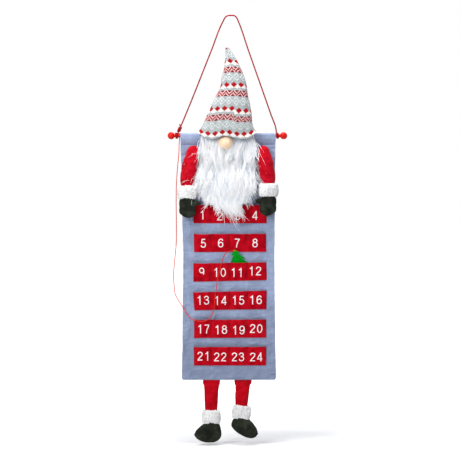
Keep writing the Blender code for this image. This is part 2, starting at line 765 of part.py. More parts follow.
def make_hat():
    """The stuffed hat stands on the brim, flat against the casing, and leans and tapers to its tip."""
    left = HAT_X - HAT_WIDTH / 2
    right = HAT_X + HAT_WIDTH / 2
    front = CASING_FRONT - HAT_DEPTH * HAT_STATION_SHARES[0][3]
    brim = ring_at(0, left, right, CASING_FRONT, front, HAT_SIDES, BEARD_SQUARENESS)
    for point in brim:
        point.z = brim_edge(point.x)
    rings = [brim]
    for up, lean, width, depth, back in HAT_STATION_SHARES:
        x = HAT_X + HAT_WIDTH / 2 * lean
        half = HAT_WIDTH / 2 * width
        rear = CASING_FRONT + HAT_DEPTH * back
        fore = rear - HAT_DEPTH * depth
        z = ROD_Z - HAT_DROP + HAT_HEIGHT * up
        rings.append(ring_at(z, x - half, x + half, rear, fore, HAT_SIDES, LIMB_SQUARENESS))
    finished("hat", loft("hat", rings), KNIT, SOFT)


def nose_centre():
    back = CASING_FRONT - NOSE_STANDOFF
    return Vector((NOSE_X, back - NOSE_DEPTH / 2, ROD_Z - NOSE_DROP))


def ball_mesh(name, centre, size, sides, rings, turn=None):
    """A round ball stretched to size, turned if asked, about its centre."""
    builder = bmesh.new()
    bmesh.ops.create_uvsphere(builder, u_segments=sides, v_segments=rings, radius=1)
    placed = Matrix.Translation(centre) @ (turn or Matrix()) @ Matrix.Diagonal((*(size / 2), 1))
    bmesh.ops.transform(builder, matrix=placed, verts=builder.verts)
    return mesh_from(name, builder)


def helper(name, data):
    """A shape that only cuts or joins: it isn't part of the object."""
    item = bpy.data.objects.new(name, data)
    bpy.context.scene.collection.objects.link(item)
    item.hide_render = True
    item.display_type = "WIRE"
    return item


def combine(item, other, operation):
    step = item.modifiers.new(operation.lower(), "BOOLEAN")
    step.operation = operation
    step.object = other


def make_nose():
    size = Vector((NOSE_WIDTH, NOSE_DEPTH, NOSE_HEIGHT))
    finished("nose", ball_mesh("nose", nose_centre(), size, NOSE_SIDES, NOSE_RINGS), SKIN, SOFT)


def front_of_banner(z):
    """The y of what lies against the banner's front: it follows the casing round the rod."""
    share = min(max((ROD_Z - z) / CASING_DROP, 0), 1)
    return CASING_FRONT + (SEAT_Y - CASING_FRONT) * share


def make_beard_top(seam_z):
    """The sewn part of the beard: it fills the space under the brim, behind and beside the nose."""
    rings = []
    bottom = seam_z + SEAM_RADIUS + TOUCH_GAP
    last = len(BEARD_TOP_WIDTH_SHARES) - 1
    for step, width in enumerate(BEARD_TOP_WIDTH_SHARES):
        half = BEARD_WIDTH / 2 * width
        ring = ring_at(0, BEARD_X - half, BEARD_X + half, 0, -1, BEARD_SIDES, BEARD_SQUARENESS)
        for point in ring:
            top = brim_edge(point.x) - BRIM_CLEARANCE
            point.z = top + (bottom - top) * step / last
            back = front_of_banner(point.z)
            front = SEAT_Y - BEARD_DEPTH
            point.y = back + (back - front) * point.y
        rings.append(ring)
    item = finished("beard_top", loft("beard_top", rings), BEARD_WHITE, SOFT)
    room = Vector((NOSE_WIDTH, NOSE_DEPTH, NOSE_HEIGHT)) + Vector((2, 2, 2)) * TOUCH_GAP
    cutter = helper("nose_room", ball_mesh("nose_room", nose_centre(), room, NOSE_SIDES, NOSE_RINGS))
    combine(item, cutter, "DIFFERENCE")


def make_beard_flap(pivot):
    """The free part of the beard: thin at its seam, full lower down, and in front of the first pockets."""
    axis_y = pivot.location.y
    axis_z = pivot.location.z
    first = BEARD_STATION_SHARES[0]
    left = BEARD_X + BEARD_WIDTH * first[1]
    right = BEARD_X + BEARD_WIDTH * first[2]
    rings = pinched_rings(axis_y, axis_z, left, right, BEARD_SIDES)
    fore = SEAT_Y - 2 * SEAM_RADIUS
    rings.append(ring_at(axis_z, left, right, SEAT_Y, fore, BEARD_SIDES, LIMB_SQUARENESS))
    for down, left_share, right_share, back, front in BEARD_STATION_SHARES:
        z = axis_z - BEARD_LENGTH * down
        left = BEARD_X + BEARD_WIDTH * left_share
        right = BEARD_X + BEARD_WIDTH * right_share
        rear = SEAT_Y - BEARD_DEPTH * back
        fore = SEAT_Y - 2 * SEAM_RADIUS - BEARD_DEPTH * front
        rings.append(ring_at(z, left, right, rear, fore, BEARD_SIDES, LIMB_SQUARENESS))
    finished("beard_flap", loft("beard_flap", rings), BEARD_WHITE, SOFT, pivot)


def cuff_rings(top, height, x, width, back, front, upper, lower):
    """A puffy cuff with a recess above for the limb's end and one below for the hand or boot."""
    middle = (back + front) / 2
    rings = [grown(moved(upper, Vector((0, 0, -TOUCH_GAP))), TOUCH_GAP)]
    rings.append(grown(moved(upper, Vector((0, 0, INSET))), TOUCH_GAP))
    for down, share in CUFF_SHARES:
        half = width / 2 * share
        deep = (back - front) / 2 * share
        z = top - height * down
        rear = middle + deep
        rings.append(ring_at(z, x - half, x + half, rear, middle - deep, LIMB_SIDES, LIMB_SQUARENESS))
    rings.append(grown(moved(lower, Vector((0, 0, -INSET))), TOUCH_GAP))
    rings.append(grown(moved(lower, Vector((0, 0, TOUCH_GAP))), TOUCH_GAP))
    return rings


def make_arm(side_name, side, sleeve_length, lean, pivot):
    """A sleeve, a cuff and a mitten with its thumb towards the beard, all swinging on the shoulder seam."""
    axis_y = pivot.location.y
    axis_z = pivot.location.z
    shoulder = SHOULDER_X + side * SHOULDER_SPREAD
    first = SLEEVE_SHARES[0]
    half = SLEEVE_WIDTH / 2 * first[2]
    sleeve = pinched_rings(axis_y, axis_z, shoulder - half, shoulder + half, LIMB_SIDES)
    for down, out, width, back, front in SLEEVE_SHARES:
        x = shoulder + side * lean * out
        half = SLEEVE_WIDTH / 2 * width
        z = axis_z - sleeve_length * down
        rear = SEAT_Y - SLEEVE_DEPTH * back
        fore = SEAT_Y - SLEEVE_DEPTH * front
        sleeve.append(ring_at(z, x - half, x + half, rear, fore, LIMB_SIDES, LIMB_SQUARENESS))
    sleeve.append(moved(sleeve[-1], Vector((0, 0, -INSET))))
    finished(f"{side_name}_sleeve", loft("sleeve", sleeve), FLEECE_RED, SOFT, pivot)

    wrist = shoulder + side * lean
    cuff_top = axis_z - sleeve_length
    hand_top = cuff_top - ARM_CUFF_HEIGHT
    hand_back = SEAT_Y - MITTEN_BACK
    half = MITTEN_WIDTH / 2 * SLEEVE_SHARES[-1][2]
    hand_front = hand_back - MITTEN_DEPTH
    neck = ring_at(hand_top, wrist - half, wrist + half, hand_back, hand_front, LIMB_SIDES, LIMB_SQUARENESS)
    hand = [moved(neck, Vector((0, 0, INSET))), neck]
    for down, inward, width, back, front in MITTEN_SHARES:
        x = wrist - side * MITTEN_WIDTH * inward
        half = MITTEN_WIDTH / 2 * width
        z = hand_top - MITTEN_LENGTH * down
        rear = hand_back - MITTEN_DEPTH * back
        fore = hand_back - MITTEN_DEPTH * front
        hand.append(ring_at(z, x - half, x + half, rear, fore, LIMB_SIDES, LIMB_SQUARENESS))
    mitten = finished(f"{side_name}_mitten", loft("mitten", hand), NEARLY_BLACK, SOFT, pivot)
    add_thumb(mitten, wrist, side, hand_top - THUMB_DROP, hand_back - MITTEN_DEPTH / 2)

    fore = SEAT_Y - ARM_CUFF_DEPTH
    cuff = cuff_rings(
        cuff_top, ARM_CUFF_HEIGHT, wrist, ARM_CUFF_WIDTH, SEAT_Y, fore, sleeve[-1], hand[0]
    )
    finished(f"{side_name}_arm_cuff", loft("cuff", cuff), SHERPA_WHITE, SOFT, pivot)


def add_thumb(mitten, wrist, side, z, y):
    """The thumb is a round lobe that points towards the beard, joined to the hand."""
    size = Vector((THUMB_LENGTH, THUMB_THICKNESS, THUMB_THICKNESS))
    centre = Vector((wrist - side * (THUMB_REACH - THUMB_LENGTH / 2), y, z))
    turn = Matrix.Rotation(side * THUMB_TILT, 4, "Y")
    name = mitten.name + "_thumb"
    thumb = helper(name, ball_mesh(name, centre, size, THUMB_SIDES, THUMB_SIDES // 2, turn))
    combine(mitten, thumb, "UNION")


def make_leg(side_name, side, leg_length, lean, boot_height, toe_drop, pivot):
    """A felt leg pinched into the bottom hem, a cuff, and a boot whose toe points outwards."""
    axis_z = pivot.location.z
    axis_y = pivot.location.y
    hip = LEG_X + side * LEG_SPREAD
    half = LEG_WIDTH / 2 * LEG_SHARES[0][2]
    leg = pinched_rings(axis_y, axis_z, hip - half, hip + half, LIMB_SIDES)
    for down, out, width, back, front in LEG_SHARES:
        x = hip + side * lean * out
        half = LEG_WIDTH / 2 * width
        z = axis_z - leg_length * down
        rear = axis_y + LEG_DEPTH * back
        fore = axis_y - LEG_DEPTH * front
        leg.append(ring_at(z, x - half, x + half, rear, fore, LIMB_SIDES, LIMB_SQUARENESS))
    leg.append(moved(leg[-1], Vector((0, 0, -INSET))))
    finished(f"{side_name}_leg", loft("leg", leg), FELT_RED, SOFT, pivot)

    ankle = hip + side * lean
    cuff_top = axis_z - leg_length
    boot_top = cuff_top - LEG_CUFF_HEIGHT
    boot_back = axis_y + BOOT_BACK
    middle = boot_back - BOOT_DEPTH / 2
    half = LEG_WIDTH / 2 * LEG_SHARES[-1][2]
    deep = LEG_DEPTH / 2 * LEG_SHARES[-1][2]
    rear = middle + deep
    neck = ring_at(boot_top, ankle - half, ankle + half, rear, middle - deep, LIMB_SIDES, LIMB_SQUARENESS)
    boot = [moved(neck, Vector((0, 0, INSET))), neck]
    for down, heel, toe, back, front in BOOT_SHARES:
        ends = sorted((ankle + side * BOOT_LENGTH * heel, ankle + side * BOOT_LENGTH * toe))
        rear = boot_back - BOOT_DEPTH * back
        fore = boot_back - BOOT_DEPTH * front
        ring = ring_at(boot_top - boot_height * down, *ends, rear, fore, LIMB_SIDES, LIMB_SQUARENESS)
        for point in ring:
            point.z -= toe_drop * down * side * (point.x - ankle) / BOOT_LENGTH
        boot.append(ring)
    finished(f"{side_name}_boot", loft("boot", boot), NEARLY_BLACK, SOFT, pivot)

    back = axis_y + LEG_DEPTH * LEG_SHARES[-1][3] + (LEG_CUFF_DEPTH - LEG_DEPTH) / 2
    cuff = cuff_rings(
        cuff_top, LEG_CUFF_HEIGHT, ankle, LEG_CUFF_WIDTH, back, back - LEG_CUFF_DEPTH, leg[-1], boot[0]
    )
    finished(f"{side_name}_leg_cuff", loft("cuff", cuff), SHERPA_WHITE, SOFT, pivot)


def tree_tip():
    seam_x = STRIP_LEFT + STRIP_WIDTH * SEAM_SHARES[2]
    return Vector((seam_x + TREE_TIP_RIGHT, SEAT_Y, row_top(ROWS_ABOVE_TREE_COUNT) + TREE_TIP_RISE))


def tree_forward():
    """How far the tree's tip leans forwards, over the pocket row above."""
    return Vector((0, -math.tan(TREE_LEAN) * TREE_TIP_RISE, 0))


def make_tree(pivot):
    """A felt tree of three tiers: its foot is upright inside the pocket, and the rest leans out."""
    half_outline = [(TREE_WIDTH / 2 * half, TREE_HEIGHT * down) for down, half in TREE_OUTLINE_SHARES]
    half_outline.append((TRUNK_WIDTH / 2, half_outline[-1][1]))
    half_outline.append((TRUNK_WIDTH / 2, TREE_HEIGHT))
    outline = half_outline + [(-x, down) for x, down in reversed(half_outline)]
    builder = bmesh.new()
    back = [builder.verts.new((x, 0, -down)) for x, down in outline]
    face = builder.faces.new(back)
    grown_face = bmesh.ops.extrude_face_region(builder, geom=[face])
    front = [item for item in grown_face["geom"] if isinstance(item, bmesh.types.BMVert)]
    bmesh.ops.translate(builder, verts=front, vec=(0, -TREE_THICKNESS, 0))
    placed = Matrix.Translation(tree_tip()) @ Matrix.Rotation(-TREE_TILT, 4, "Y")
    bmesh.ops.transform(builder, matrix=placed, verts=builder.verts)
    mouth = row_top(ROWS_ABOVE_TREE_COUNT)
    everything = builder.verts[:] + builder.edges[:] + builder.faces[:]
    bmesh.ops.bisect_plane(builder, geom=everything, plane_co=(0, 0, mouth), plane_no=(0, 0, 1))
    for corner in builder.verts:
        corner.co.y -= math.tan(TREE_LEAN) * max(corner.co.z - mouth, 0)
    finished("tree_marker", mesh_from("tree_marker", builder), TREE_GREEN, SOFT, pivot)


def make_marker_cord(pivot):
    """The thin cord from its tie on the rod, down beside the banner and across to the tree's tip."""
    before_tree = TREE_THICKNESS + TOUCH_GAP + MARKER_KNOT_DIAMETER / 2
    knot = tree_tip() + tree_forward() + Vector((0, -before_tree, -MARKER_KNOT_DIAMETER))
    size = Vector((MARKER_KNOT_DIAMETER, MARKER_KNOT_DIAMETER, MARKER_KNOT_DIAMETER))
    ball = ball_mesh("marker_knot", knot, size, TURN_POINTS, TURN_POINTS // 2)
    finished("marker_knot", ball, CORD_ORANGE, SOFT, pivot)
    tie_x = BANNER_X - BANNER_WIDTH / 2 - TOUCH_GAP - MARKER_CORD_DIAMETER
    tie_bottom = ROD_Z - rod_winding_radius(MARKER_CORD_DIAMETER) - MARKER_CORD_DIAMETER / 2 - TOUCH_GAP
    reach = Vector((-1, 0, 0)) * (MARKER_KNOT_DIAMETER / 2 + TOUCH_GAP)
    route = [Vector((tie_x, 0, tie_bottom))]
    for across, forward, down in MARKER_ROUTE_SHARES:
        x = BANNER_X + BANNER_WIDTH / 2 * across
        route.append(Vector((x, -MARKER_CORD_STANDOFF * forward, ROD_Z - BANNER_LENGTH * down)))
    route.append(knot + reach)
    points = smooth_path(route, MARKER_CORD_POINTS)
    cord = tube("marker_cord", points, MARKER_CORD_DIAMETER, CORD_BEVEL_STEPS)
    finished("marker_cord", cord, CORD_ORANGE, SOFT)


def main():
    clear_scene()
    make_banner()
    make_lining()
    rod_pivot = pivot_at("rod_turn_axis", Vector((0, 0, ROD_Z)))
    make_rod(rod_pivot)
    make_ball("finial_left", ROD_LEFT, -1, rod_pivot)
    make_ball("finial_right", ROD_RIGHT, 1, rod_pivot)
    make_hanging_cord()
    for row in range(len(ROW_DROP_SHARES)):
        make_pocket_row(row + 1, row_top(row))

    make_hat()
    make_nose()
    seam_y = SEAT_Y - SEAM_RADIUS
    beard_z = ROD_Z - BEARD_SEAM_DROP
    make_beard_top(beard_z)
    make_beard_flap(pivot_at("beard_lift_axis", Vector((BEARD_X, seam_y, beard_z))))

    shoulder_z = ROD_Z - SHOULDER_DROP
    left_pivot = pivot_at("left_arm_axis", Vector((SHOULDER_X - SHOULDER_SPREAD, seam_y, shoulder_z)))
    make_arm("left", -1, LEFT_SLEEVE_LENGTH, LEFT_ARM_LEAN, left_pivot)
    right_pivot = pivot_at("right_arm_axis", Vector((SHOULDER_X + SHOULDER_SPREAD, seam_y, shoulder_z)))
    make_arm("right", 1, RIGHT_SLEEVE_LENGTH, RIGHT_ARM_LEAN, right_pivot)

    hip_z = BANNER_BOTTOM - TOUCH_GAP - SEAM_RADIUS
    left_hip = pivot_at("left_leg_axis", Vector((LEG_X - LEG_SPREAD, 0, hip_z)))
    make_leg("left", -1, LEFT_LEG_LENGTH, LEFT_LEG_LEAN, LEFT_BOOT_HEIGHT, LEFT_TOE_DROP, left_hip)
    right_hip = pivot_at("right_leg_axis", Vector((LEG_X + LEG_SPREAD, 0, hip_z)))
    make_leg("right", 1, RIGHT_LEG_LENGTH, RIGHT_LEG_LEAN, RIGHT_BOOT_HEIGHT, RIGHT_TOE_DROP, right_hip)

    tree_pivot = pivot_at("marker_lift_axis", tree_tip())
    make_tree(tree_pivot)
    make_marker_cord(tree_pivot)


main()
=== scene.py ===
"""Fabric advent calendar: the visible pieces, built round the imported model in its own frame, in metres."""

import math

import bmesh
import bpy
from mathutils import Matrix, Vector, noise
from mathutils.geometry import interpolate_bezier


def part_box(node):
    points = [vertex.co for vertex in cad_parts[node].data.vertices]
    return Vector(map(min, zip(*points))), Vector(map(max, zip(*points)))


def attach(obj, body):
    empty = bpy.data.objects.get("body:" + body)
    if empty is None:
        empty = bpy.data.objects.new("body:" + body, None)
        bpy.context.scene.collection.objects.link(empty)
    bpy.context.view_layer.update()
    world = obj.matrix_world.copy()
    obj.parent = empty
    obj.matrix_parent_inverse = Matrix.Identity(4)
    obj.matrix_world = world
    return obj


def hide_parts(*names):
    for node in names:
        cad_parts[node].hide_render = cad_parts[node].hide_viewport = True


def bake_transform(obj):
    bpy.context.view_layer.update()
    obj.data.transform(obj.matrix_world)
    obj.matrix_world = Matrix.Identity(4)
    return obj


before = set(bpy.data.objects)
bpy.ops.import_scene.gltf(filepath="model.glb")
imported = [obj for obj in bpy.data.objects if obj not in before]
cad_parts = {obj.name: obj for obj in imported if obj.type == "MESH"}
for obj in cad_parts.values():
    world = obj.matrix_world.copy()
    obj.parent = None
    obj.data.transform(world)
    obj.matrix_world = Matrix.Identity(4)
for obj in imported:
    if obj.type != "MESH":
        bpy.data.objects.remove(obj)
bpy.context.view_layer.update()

# The room: a pale floor just under the boots, a white surround, and four soft lamps, of which the strongest in
# front stands on the left, so the cloth is a little brighter there. The lamp behind lights the floor and the
# edges of the fur. The floor glows more with its distance, so that it turns white and only the shadow stays.
FLOOR_Z = -1.158
LAMPS_AIM = (0, 0, -0.6)
TURN = 2 * math.pi


def linear(colour):
    """A colour written in sRGB hex, as the linear values that nodes take."""
    parts = [int(colour[place : place + 2], 16) / 255 for place in (1, 3, 5)]
    return [part / 12.92 if part <= 0.04045 else ((part + 0.055) / 1.055) ** 2.4 for part in parts] + [1]


def add_node(tree, kind, settings=None, links=None):
    """Adds a node with its properties and socket values set, and its inputs linked."""
    node = tree.nodes.new(kind)
    for name, value in (settings or {}).items():
        if isinstance(name, int) or name in node.inputs:
            node.inputs[name].default_value = value
        else:
            setattr(node, name, value)
    for name, source in (links or {}).items():
        tree.links.new(source, node.inputs[name])
    return node


def seen_directly(tree):
    """1 for rays from the camera, and for what gloss and glass show of the room."""
    rays = add_node(tree, "ShaderNodeLightPath")
    mirrored = add_node(tree, "ShaderNodeMath", {"operation": "MAXIMUM"},
                        {0: rays.outputs["Is Glossy Ray"], 1: rays.outputs["Is Transmission Ray"]})
    either = add_node(tree, "ShaderNodeMath", {"operation": "MAXIMUM"},
                      {0: rays.outputs["Is Camera Ray"], 1: mirrored.outputs[0]})
    return either.outputs[0]


def put(name, data):
    """An object that holds the data, at the origin."""
    item = bpy.data.objects.new(name, data)
    bpy.context.scene.collection.objects.link(item)
    return item


bpy.context.scene.view_settings.view_transform = "Standard"
surround = bpy.data.worlds.new("surround")
surround.use_nodes = True
surround.node_tree.nodes.clear()
bpy.context.scene.world = surround
soft_light = add_node(surround.node_tree, "ShaderNodeBackground", {"Color": linear("#F4F6FF"), "Strength": 0.37})
white_light = add_node(surround.node_tree, "ShaderNodeBackground", {"Color": (1, 1, 1, 1), "Strength": 1})
either_light = add_node(surround.node_tree, "ShaderNodeMixShader", {},
                        {0: seen_directly(surround.node_tree), 1: soft_light.outputs[0], 2: white_light.outputs[0]})
add_node(surround.node_tree, "ShaderNodeOutputWorld", {}, {0: either_light.outputs[0]})

floor_paint = bpy.data.materials.new("matt_white_floor")
floor_paint.use_nodes = True
paint_tree = floor_paint.node_tree
paint_tree.nodes.clear()
matt = add_node(paint_tree, "ShaderNodeBsdfDiffuse", {"Color": linear("#F2F2F2")})
floor_place = add_node(paint_tree, "ShaderNodeTexCoord").outputs["Object"]
from_middle = add_node(paint_tree, "ShaderNodeVectorMath", {"operation": "LENGTH"}, {0: floor_place})
lift_strength = add_node(paint_tree, "ShaderNodeMapRange", {1: 0.35, 2: 1.3, 3: 0.19, 4: 0.95},
                         {0: from_middle.outputs[1]})
lift = add_node(paint_tree, "ShaderNodeEmission", {}, {"Strength": lift_strength.outputs[0]})
lifted = add_node(paint_tree, "ShaderNodeAddShader", {}, {0: matt.outputs[0], 1: lift.outputs[0]})
floor_mix = add_node(paint_tree, "ShaderNodeMixShader", {},
                     {0: seen_directly(paint_tree), 1: matt.outputs[0], 2: lifted.outputs[0]})
add_node(paint_tree, "ShaderNodeOutputMaterial", {}, {0: floor_mix.outputs[0]})
floor_builder = bmesh.new()
bmesh.ops.create_grid(floor_builder, x_segments=1, y_segments=1, size=60)
floor_mesh = bpy.data.meshes.new("floor")
floor_builder.to_mesh(floor_mesh)
floor_mesh.materials.append(floor_paint)
floor = put("floor", floor_mesh)
floor.location.z = FLOOR_Z

for lamp_name, place, width, power in (
    ("window_lamp", (-0.95, -1.20, 0.20), 0.8, 19.5),
    ("ceiling_lamp", (0.0, -0.30, 0.8), 0.5, 15),
    ("fill_lamp", (1.6, -2.2, 0.0), 1.6, 6),
    ("rear_lamp", (0.6, 2.6, 0.6), 2.0, 26),
):
    lamp_data = bpy.data.lights.new(lamp_name, "AREA")
    lamp_data.size = width
    lamp_data.energy = power
    lamp = put(lamp_name, lamp_data)
    lamp.location = place
    lamp.rotation_euler = (Vector(LAMPS_AIM) - Vector(place)).to_track_quat("-Z", "Y").to_euler()

camera = put("camera", bpy.data.cameras.new("camera"))
camera.location = (-0.0027, -5, -0.579)
camera.rotation_euler = (TURN / 4, 0, 0)
camera.data.lens = 145
bpy.context.scene.camera = camera

# The hanging cord: a three-strand twisted polyester cord, dark red with lighter fibres, tied round the rod
# on both sides of the banner. A wrapped knot with a short tail closes it above the left tie.
ROD_Z = -0.3245
ROD_RADIUS = 0.0045
TOUCH_GAP = 0.0003
WINDING_GAP = 0.00045
BANNER_X = -0.0081
BANNER_WIDTH = 0.2570
BANNER_LENGTH = 0.6590
HANGING_CORD_DIAMETER = 0.0030
MARKER_CORD_DIAMETER = 0.0018
KNOT_CORD_DIAMETER = 0.0024
# Each place: across in shares of half the banner's width, and down in shares of the way to the rod
HANGING_ROUTE = (
    (-1.0973, 0.9615), (-1.0335, 0.9029), (-0.4078, 0.2872), (-0.1658, 0.0490), (-0.1113, 0.0117),
    (-0.0630, 0.0009), (0, 0), (0.0693, 0.0015), (0.1175, 0.0166), (0.1409, 0.0367),
    (0.3634, 0.2872), (0.8428, 0.8280), (0.9440, 0.9430),
)


def begin_finish(name, colour, roughness, sheen=0.0, gloss=0.12):
    """A material with a Principled shader: returns it, its tree, the shader and the piece's own coordinates.

    Cloth has little gloss of its own, because its fibres break up the reflection.
    """
    material = bpy.data.materials.new(name)
    material.use_nodes = True
    tree = material.node_tree
    shader = tree.nodes["Principled BSDF"]
    shader.inputs["Base Color"].default_value = linear(colour)
    shader.inputs["Roughness"].default_value = roughness
    shader.inputs["Sheen Weight"].default_value = sheen
    shader.inputs["Specular IOR Level"].default_value = gloss
    coords = add_node(tree, "ShaderNodeTexCoord").outputs["Object"]
    return material, tree, shader, coords


def mottled(tree, coords, scale, colours, detail=3, stretch=(1, 1, 1)):
    """A colour that drifts between the given sRGB colours with a noise of the given size."""
    placed = add_node(tree, "ShaderNodeMapping", {"Scale": stretch}, {"Vector": coords})
    cloud = add_node(tree, "ShaderNodeTexNoise", {"Scale": scale, "Detail": detail}, {"Vector": placed.outputs[0]})
    ramp = add_node(tree, "ShaderNodeValToRGB", {}, {0: cloud.outputs[0]})
    ramp.color_ramp.elements[0].position = 0.34
    ramp.color_ramp.elements[1].position = 0.66
    ramp.color_ramp.elements[0].color = linear(colours[0])
    ramp.color_ramp.elements[1].color = linear(colours[-1])
    for index, middle in enumerate(colours[1:-1]):
        element = ramp.color_ramp.elements.new(0.34 + 0.32 * (index + 1) / (len(colours) - 1))
        element.color = linear(middle)
    return ramp.outputs[0], cloud.outputs[0]


def relief(tree, shader, height, depth, strength=0.6):
    """Raises the surface by a height from 0 to 1, which stands for depth in metres."""
    bump = add_node(tree, "ShaderNodeBump", {"Strength": strength, "Distance": depth}, {"Height": height})
    tree.links.new(bump.outputs[0], shader.inputs["Normal"])


def cord_finish(name, colours):
    """Twisted polyester: fine fibres that catch the light, drawn 0.5 mm wide so that they show."""
    material, tree, shader, coords = begin_finish(name, colours[0], 0.62, 0.04, 0.05)
    colour, fibres = mottled(tree, coords, 900, colours, detail=2, stretch=(1, 1, 0.35))
    tree.links.new(colour, shader.inputs["Base Color"])
    relief(tree, shader, fibres, 0.0002)
    return material


def evenly_spaced(dense, count):
    """count points along a line of many points, at equal steps of its length."""
    marks = [0.0]
    for start, end in zip(dense, dense[1:]):
        marks.append(marks[-1] + (end - start).length)
    points = []
    index = 0
    for step in range(count):
        target = marks[-1] * step / (count - 1)
        while index < len(dense) - 2 and marks[index + 1] < target:
            index += 1
        part = (target - marks[index]) / (marks[index + 1] - marks[index])
        points.append(dense[index].lerp(dense[index + 1], min(part, 1)))
    return points


def smooth_path(route, count):
    """count points on a smooth curve through the route's points."""
    spans = [(end - start).length for start, end in zip(route, route[1:])]
    slopes = [(end - start) / span for start, end, span in zip(route, route[1:], spans)]
    tangents = [slopes[0]]
    for before, after, span, next_span in zip(slopes, slopes[1:], spans, spans[1:]):
        tangents.append((before * next_span + after * span) / (span + next_span))
    tangents.append(slopes[-1])
    dense = []
    for index, span in enumerate(spans):
        start, end = route[index], route[index + 1]
        leaving = start + tangents[index] * span / 3
        arriving = end - tangents[index + 1] * span / 3
        dense += interpolate_bezier(start, leaving, arriving, end, 12)[:-1]
    dense.append(route[-1])
    return evenly_spaced(dense, count)


def length_of(points):
    """The length of the line through the points."""
    return sum((after - before).length for before, after in zip(points, points[1:]))


def line_object(name, lines):
    """A mesh of bare edges, one chain for each list of points, for a geometry tree to work on."""
    mesh = bpy.data.meshes.new(name)
    corners = [point for line in lines for point in line]
    edges = []
    start = 0
    for line in lines:
        edges += [(start + index, start + index + 1) for index in range(len(line) - 1)]
        start += len(line)
    mesh.from_pydata(corners, edges, [])
    return put(name, mesh)


def geometry_tree(name, inputs, steps):
    """A geometry tree with named inputs, which realises its instances and gives them the material at its end.

    Each step is a label, a kind of node, its settings and its links. A link names an earlier step, and its output
    if that isn't the first, as in "roots.Points", or one of the tree's inputs, as in "in.Seed".
    """
    tree = bpy.data.node_groups.new(name, "GeometryNodeTree")
    tree.interface.new_socket("Geometry", in_out="INPUT", socket_type="NodeSocketGeometry")
    for label, kind in inputs:
        tree.interface.new_socket(label, in_out="INPUT", socket_type=f"NodeSocket{kind}")
    tree.interface.new_socket("Geometry", in_out="OUTPUT", socket_type="NodeSocketGeometry")
    made = {"in": tree.nodes.new("NodeGroupInput")}
    ending = (("real", "GeometryNodeRealizeInstances", {}, {0: steps[-1][0]}),
              ("done", "GeometryNodeSetMaterial", {}, {"Geometry": "real", "Material": "in.Material"}))
    for label, kind, settings, links in steps + ending:
        joined = {}
        for socket, source in links.items():
            origin, _, output = source.partition(".")
            joined[socket] = made[origin].outputs[int(output) if output.isdigit() else output or 0]
        made[label] = add_node(tree, kind, settings, joined)
    tree.links.new(made["done"].outputs[0], tree.nodes.new("NodeGroupOutput").inputs[0])
    return tree


def settle(piece):
    """Puts what a piece's modifiers make of it in its mesh, and removes them."""
    bpy.context.view_layer.update()
    graph = bpy.context.evaluated_depsgraph_get()
    mesh = bpy.data.meshes.new_from_object(piece.evaluated_get(graph), preserve_all_data_layers=True, depsgraph=graph)
    piece.modifiers.clear()
    piece.data = mesh


def made_by(tree, base, values):
    """The plain mesh that a geometry tree makes from a base object, which it takes the place of."""
    modifier = base.modifiers.new("made", "NODES")
    modifier.node_group = tree
    for socket in tree.interface.items_tree:
        if socket.name in values:
            modifier[socket.identifier] = values[socket.name]
    settle(base)
    return base


# A twisted cord: a strand's round section stands three times round the line and turns with its length
twist_tree = geometry_tree("twisted_cord", (
    ("Diameter", "Float"), ("Fullness", "Float"), ("Lay", "Float"), ("Step", "Float"), ("Material", "Material"),
), (
    ("line", "GeometryNodeMeshToCurve", {}, {0: "in.Geometry"}),
    ("even", "GeometryNodeResampleCurve", {"mode": "LENGTH"}, {"Curve": "line", "Length": "in.Step"}),
    ("along", "GeometryNodeSplineParameter", {}, {}),
    ("turns", "ShaderNodeMath", {"operation": "DIVIDE"}, {0: "along.Length", 1: "in.Lay"}),
    ("angle", "ShaderNodeMath", {"operation": "MULTIPLY", 1: TURN}, {0: "turns"}),
    ("tilted", "GeometryNodeSetCurveTilt", {}, {"Curve": "even", "Tilt": "angle"}),
    ("reach", "ShaderNodeMath", {"operation": "MULTIPLY"}, {0: "in.Diameter", 1: "in.Fullness"}),
    ("radius", "ShaderNodeMath", {"operation": "MULTIPLY", 1: 1.04}, {0: "reach"}),
    ("places", "GeometryNodeMeshCircle", {"Vertices": 3}, {"Radius": "reach"}),
    ("round", "GeometryNodeCurvePrimitiveCircle", {"Resolution": 8}, {"Radius": "radius"}),
    ("copies", "GeometryNodeInstanceOnPoints", {}, {"Points": "places", "Instance": "round"}),
    ("section", "GeometryNodeRealizeInstances", {}, {0: "copies"}),
    ("mesh", "GeometryNodeCurveToMesh", {"Fill Caps": True}, {"Curve": "tilted", "Profile Curve": "section"}),
    ("smooth", "GeometryNodeSetShadeSmooth", {}, {0: "mesh"}),
))


def twisted_cord(name, points, diameter, finish):
    """A cord of three strands along the points, a little fuller than its diameter where a strand stands out."""
    values = {"Diameter": diameter, "Fullness": 0.34, "Lay": diameter * 2.8, "Step": diameter * 0.28,
              "Material": finish}
    return made_by(twist_tree, line_object(name, [points]), values)


def winding(start, along, side, radius, pitch, turns, turn_points):
    """Points of a winding round the line from start: it begins on the side given."""
    across = along.cross(side)
    points = []
    for step in range(round(turns * turn_points) + 1):
        share = step / turn_points
        spoke = side * math.cos(TURN * share) + across * math.sin(TURN * share)
        points.append(start + along * pitch * share + spoke * radius)
    return points


def rod_winding_radius(diameter):
    """The radius of a turn of cord on the rod, at the corners of the twelve-sided line that the solid has."""
    return (ROD_RADIUS + TOUCH_GAP + diameter / 2) / math.cos(math.pi / 12)


def rod_tie(name, start_x, diameter, turns, finish):
    """Turns of cord round the rod, beginning at the top."""
    radius = rod_winding_radius(diameter)
    start = Vector((start_x, 0, ROD_Z))
    points = winding(start, Vector((1, 0, 0)), Vector((0, 0, 1)), radius, diameter + WINDING_GAP, turns, 36)
    return twisted_cord(name, points, diameter, finish)


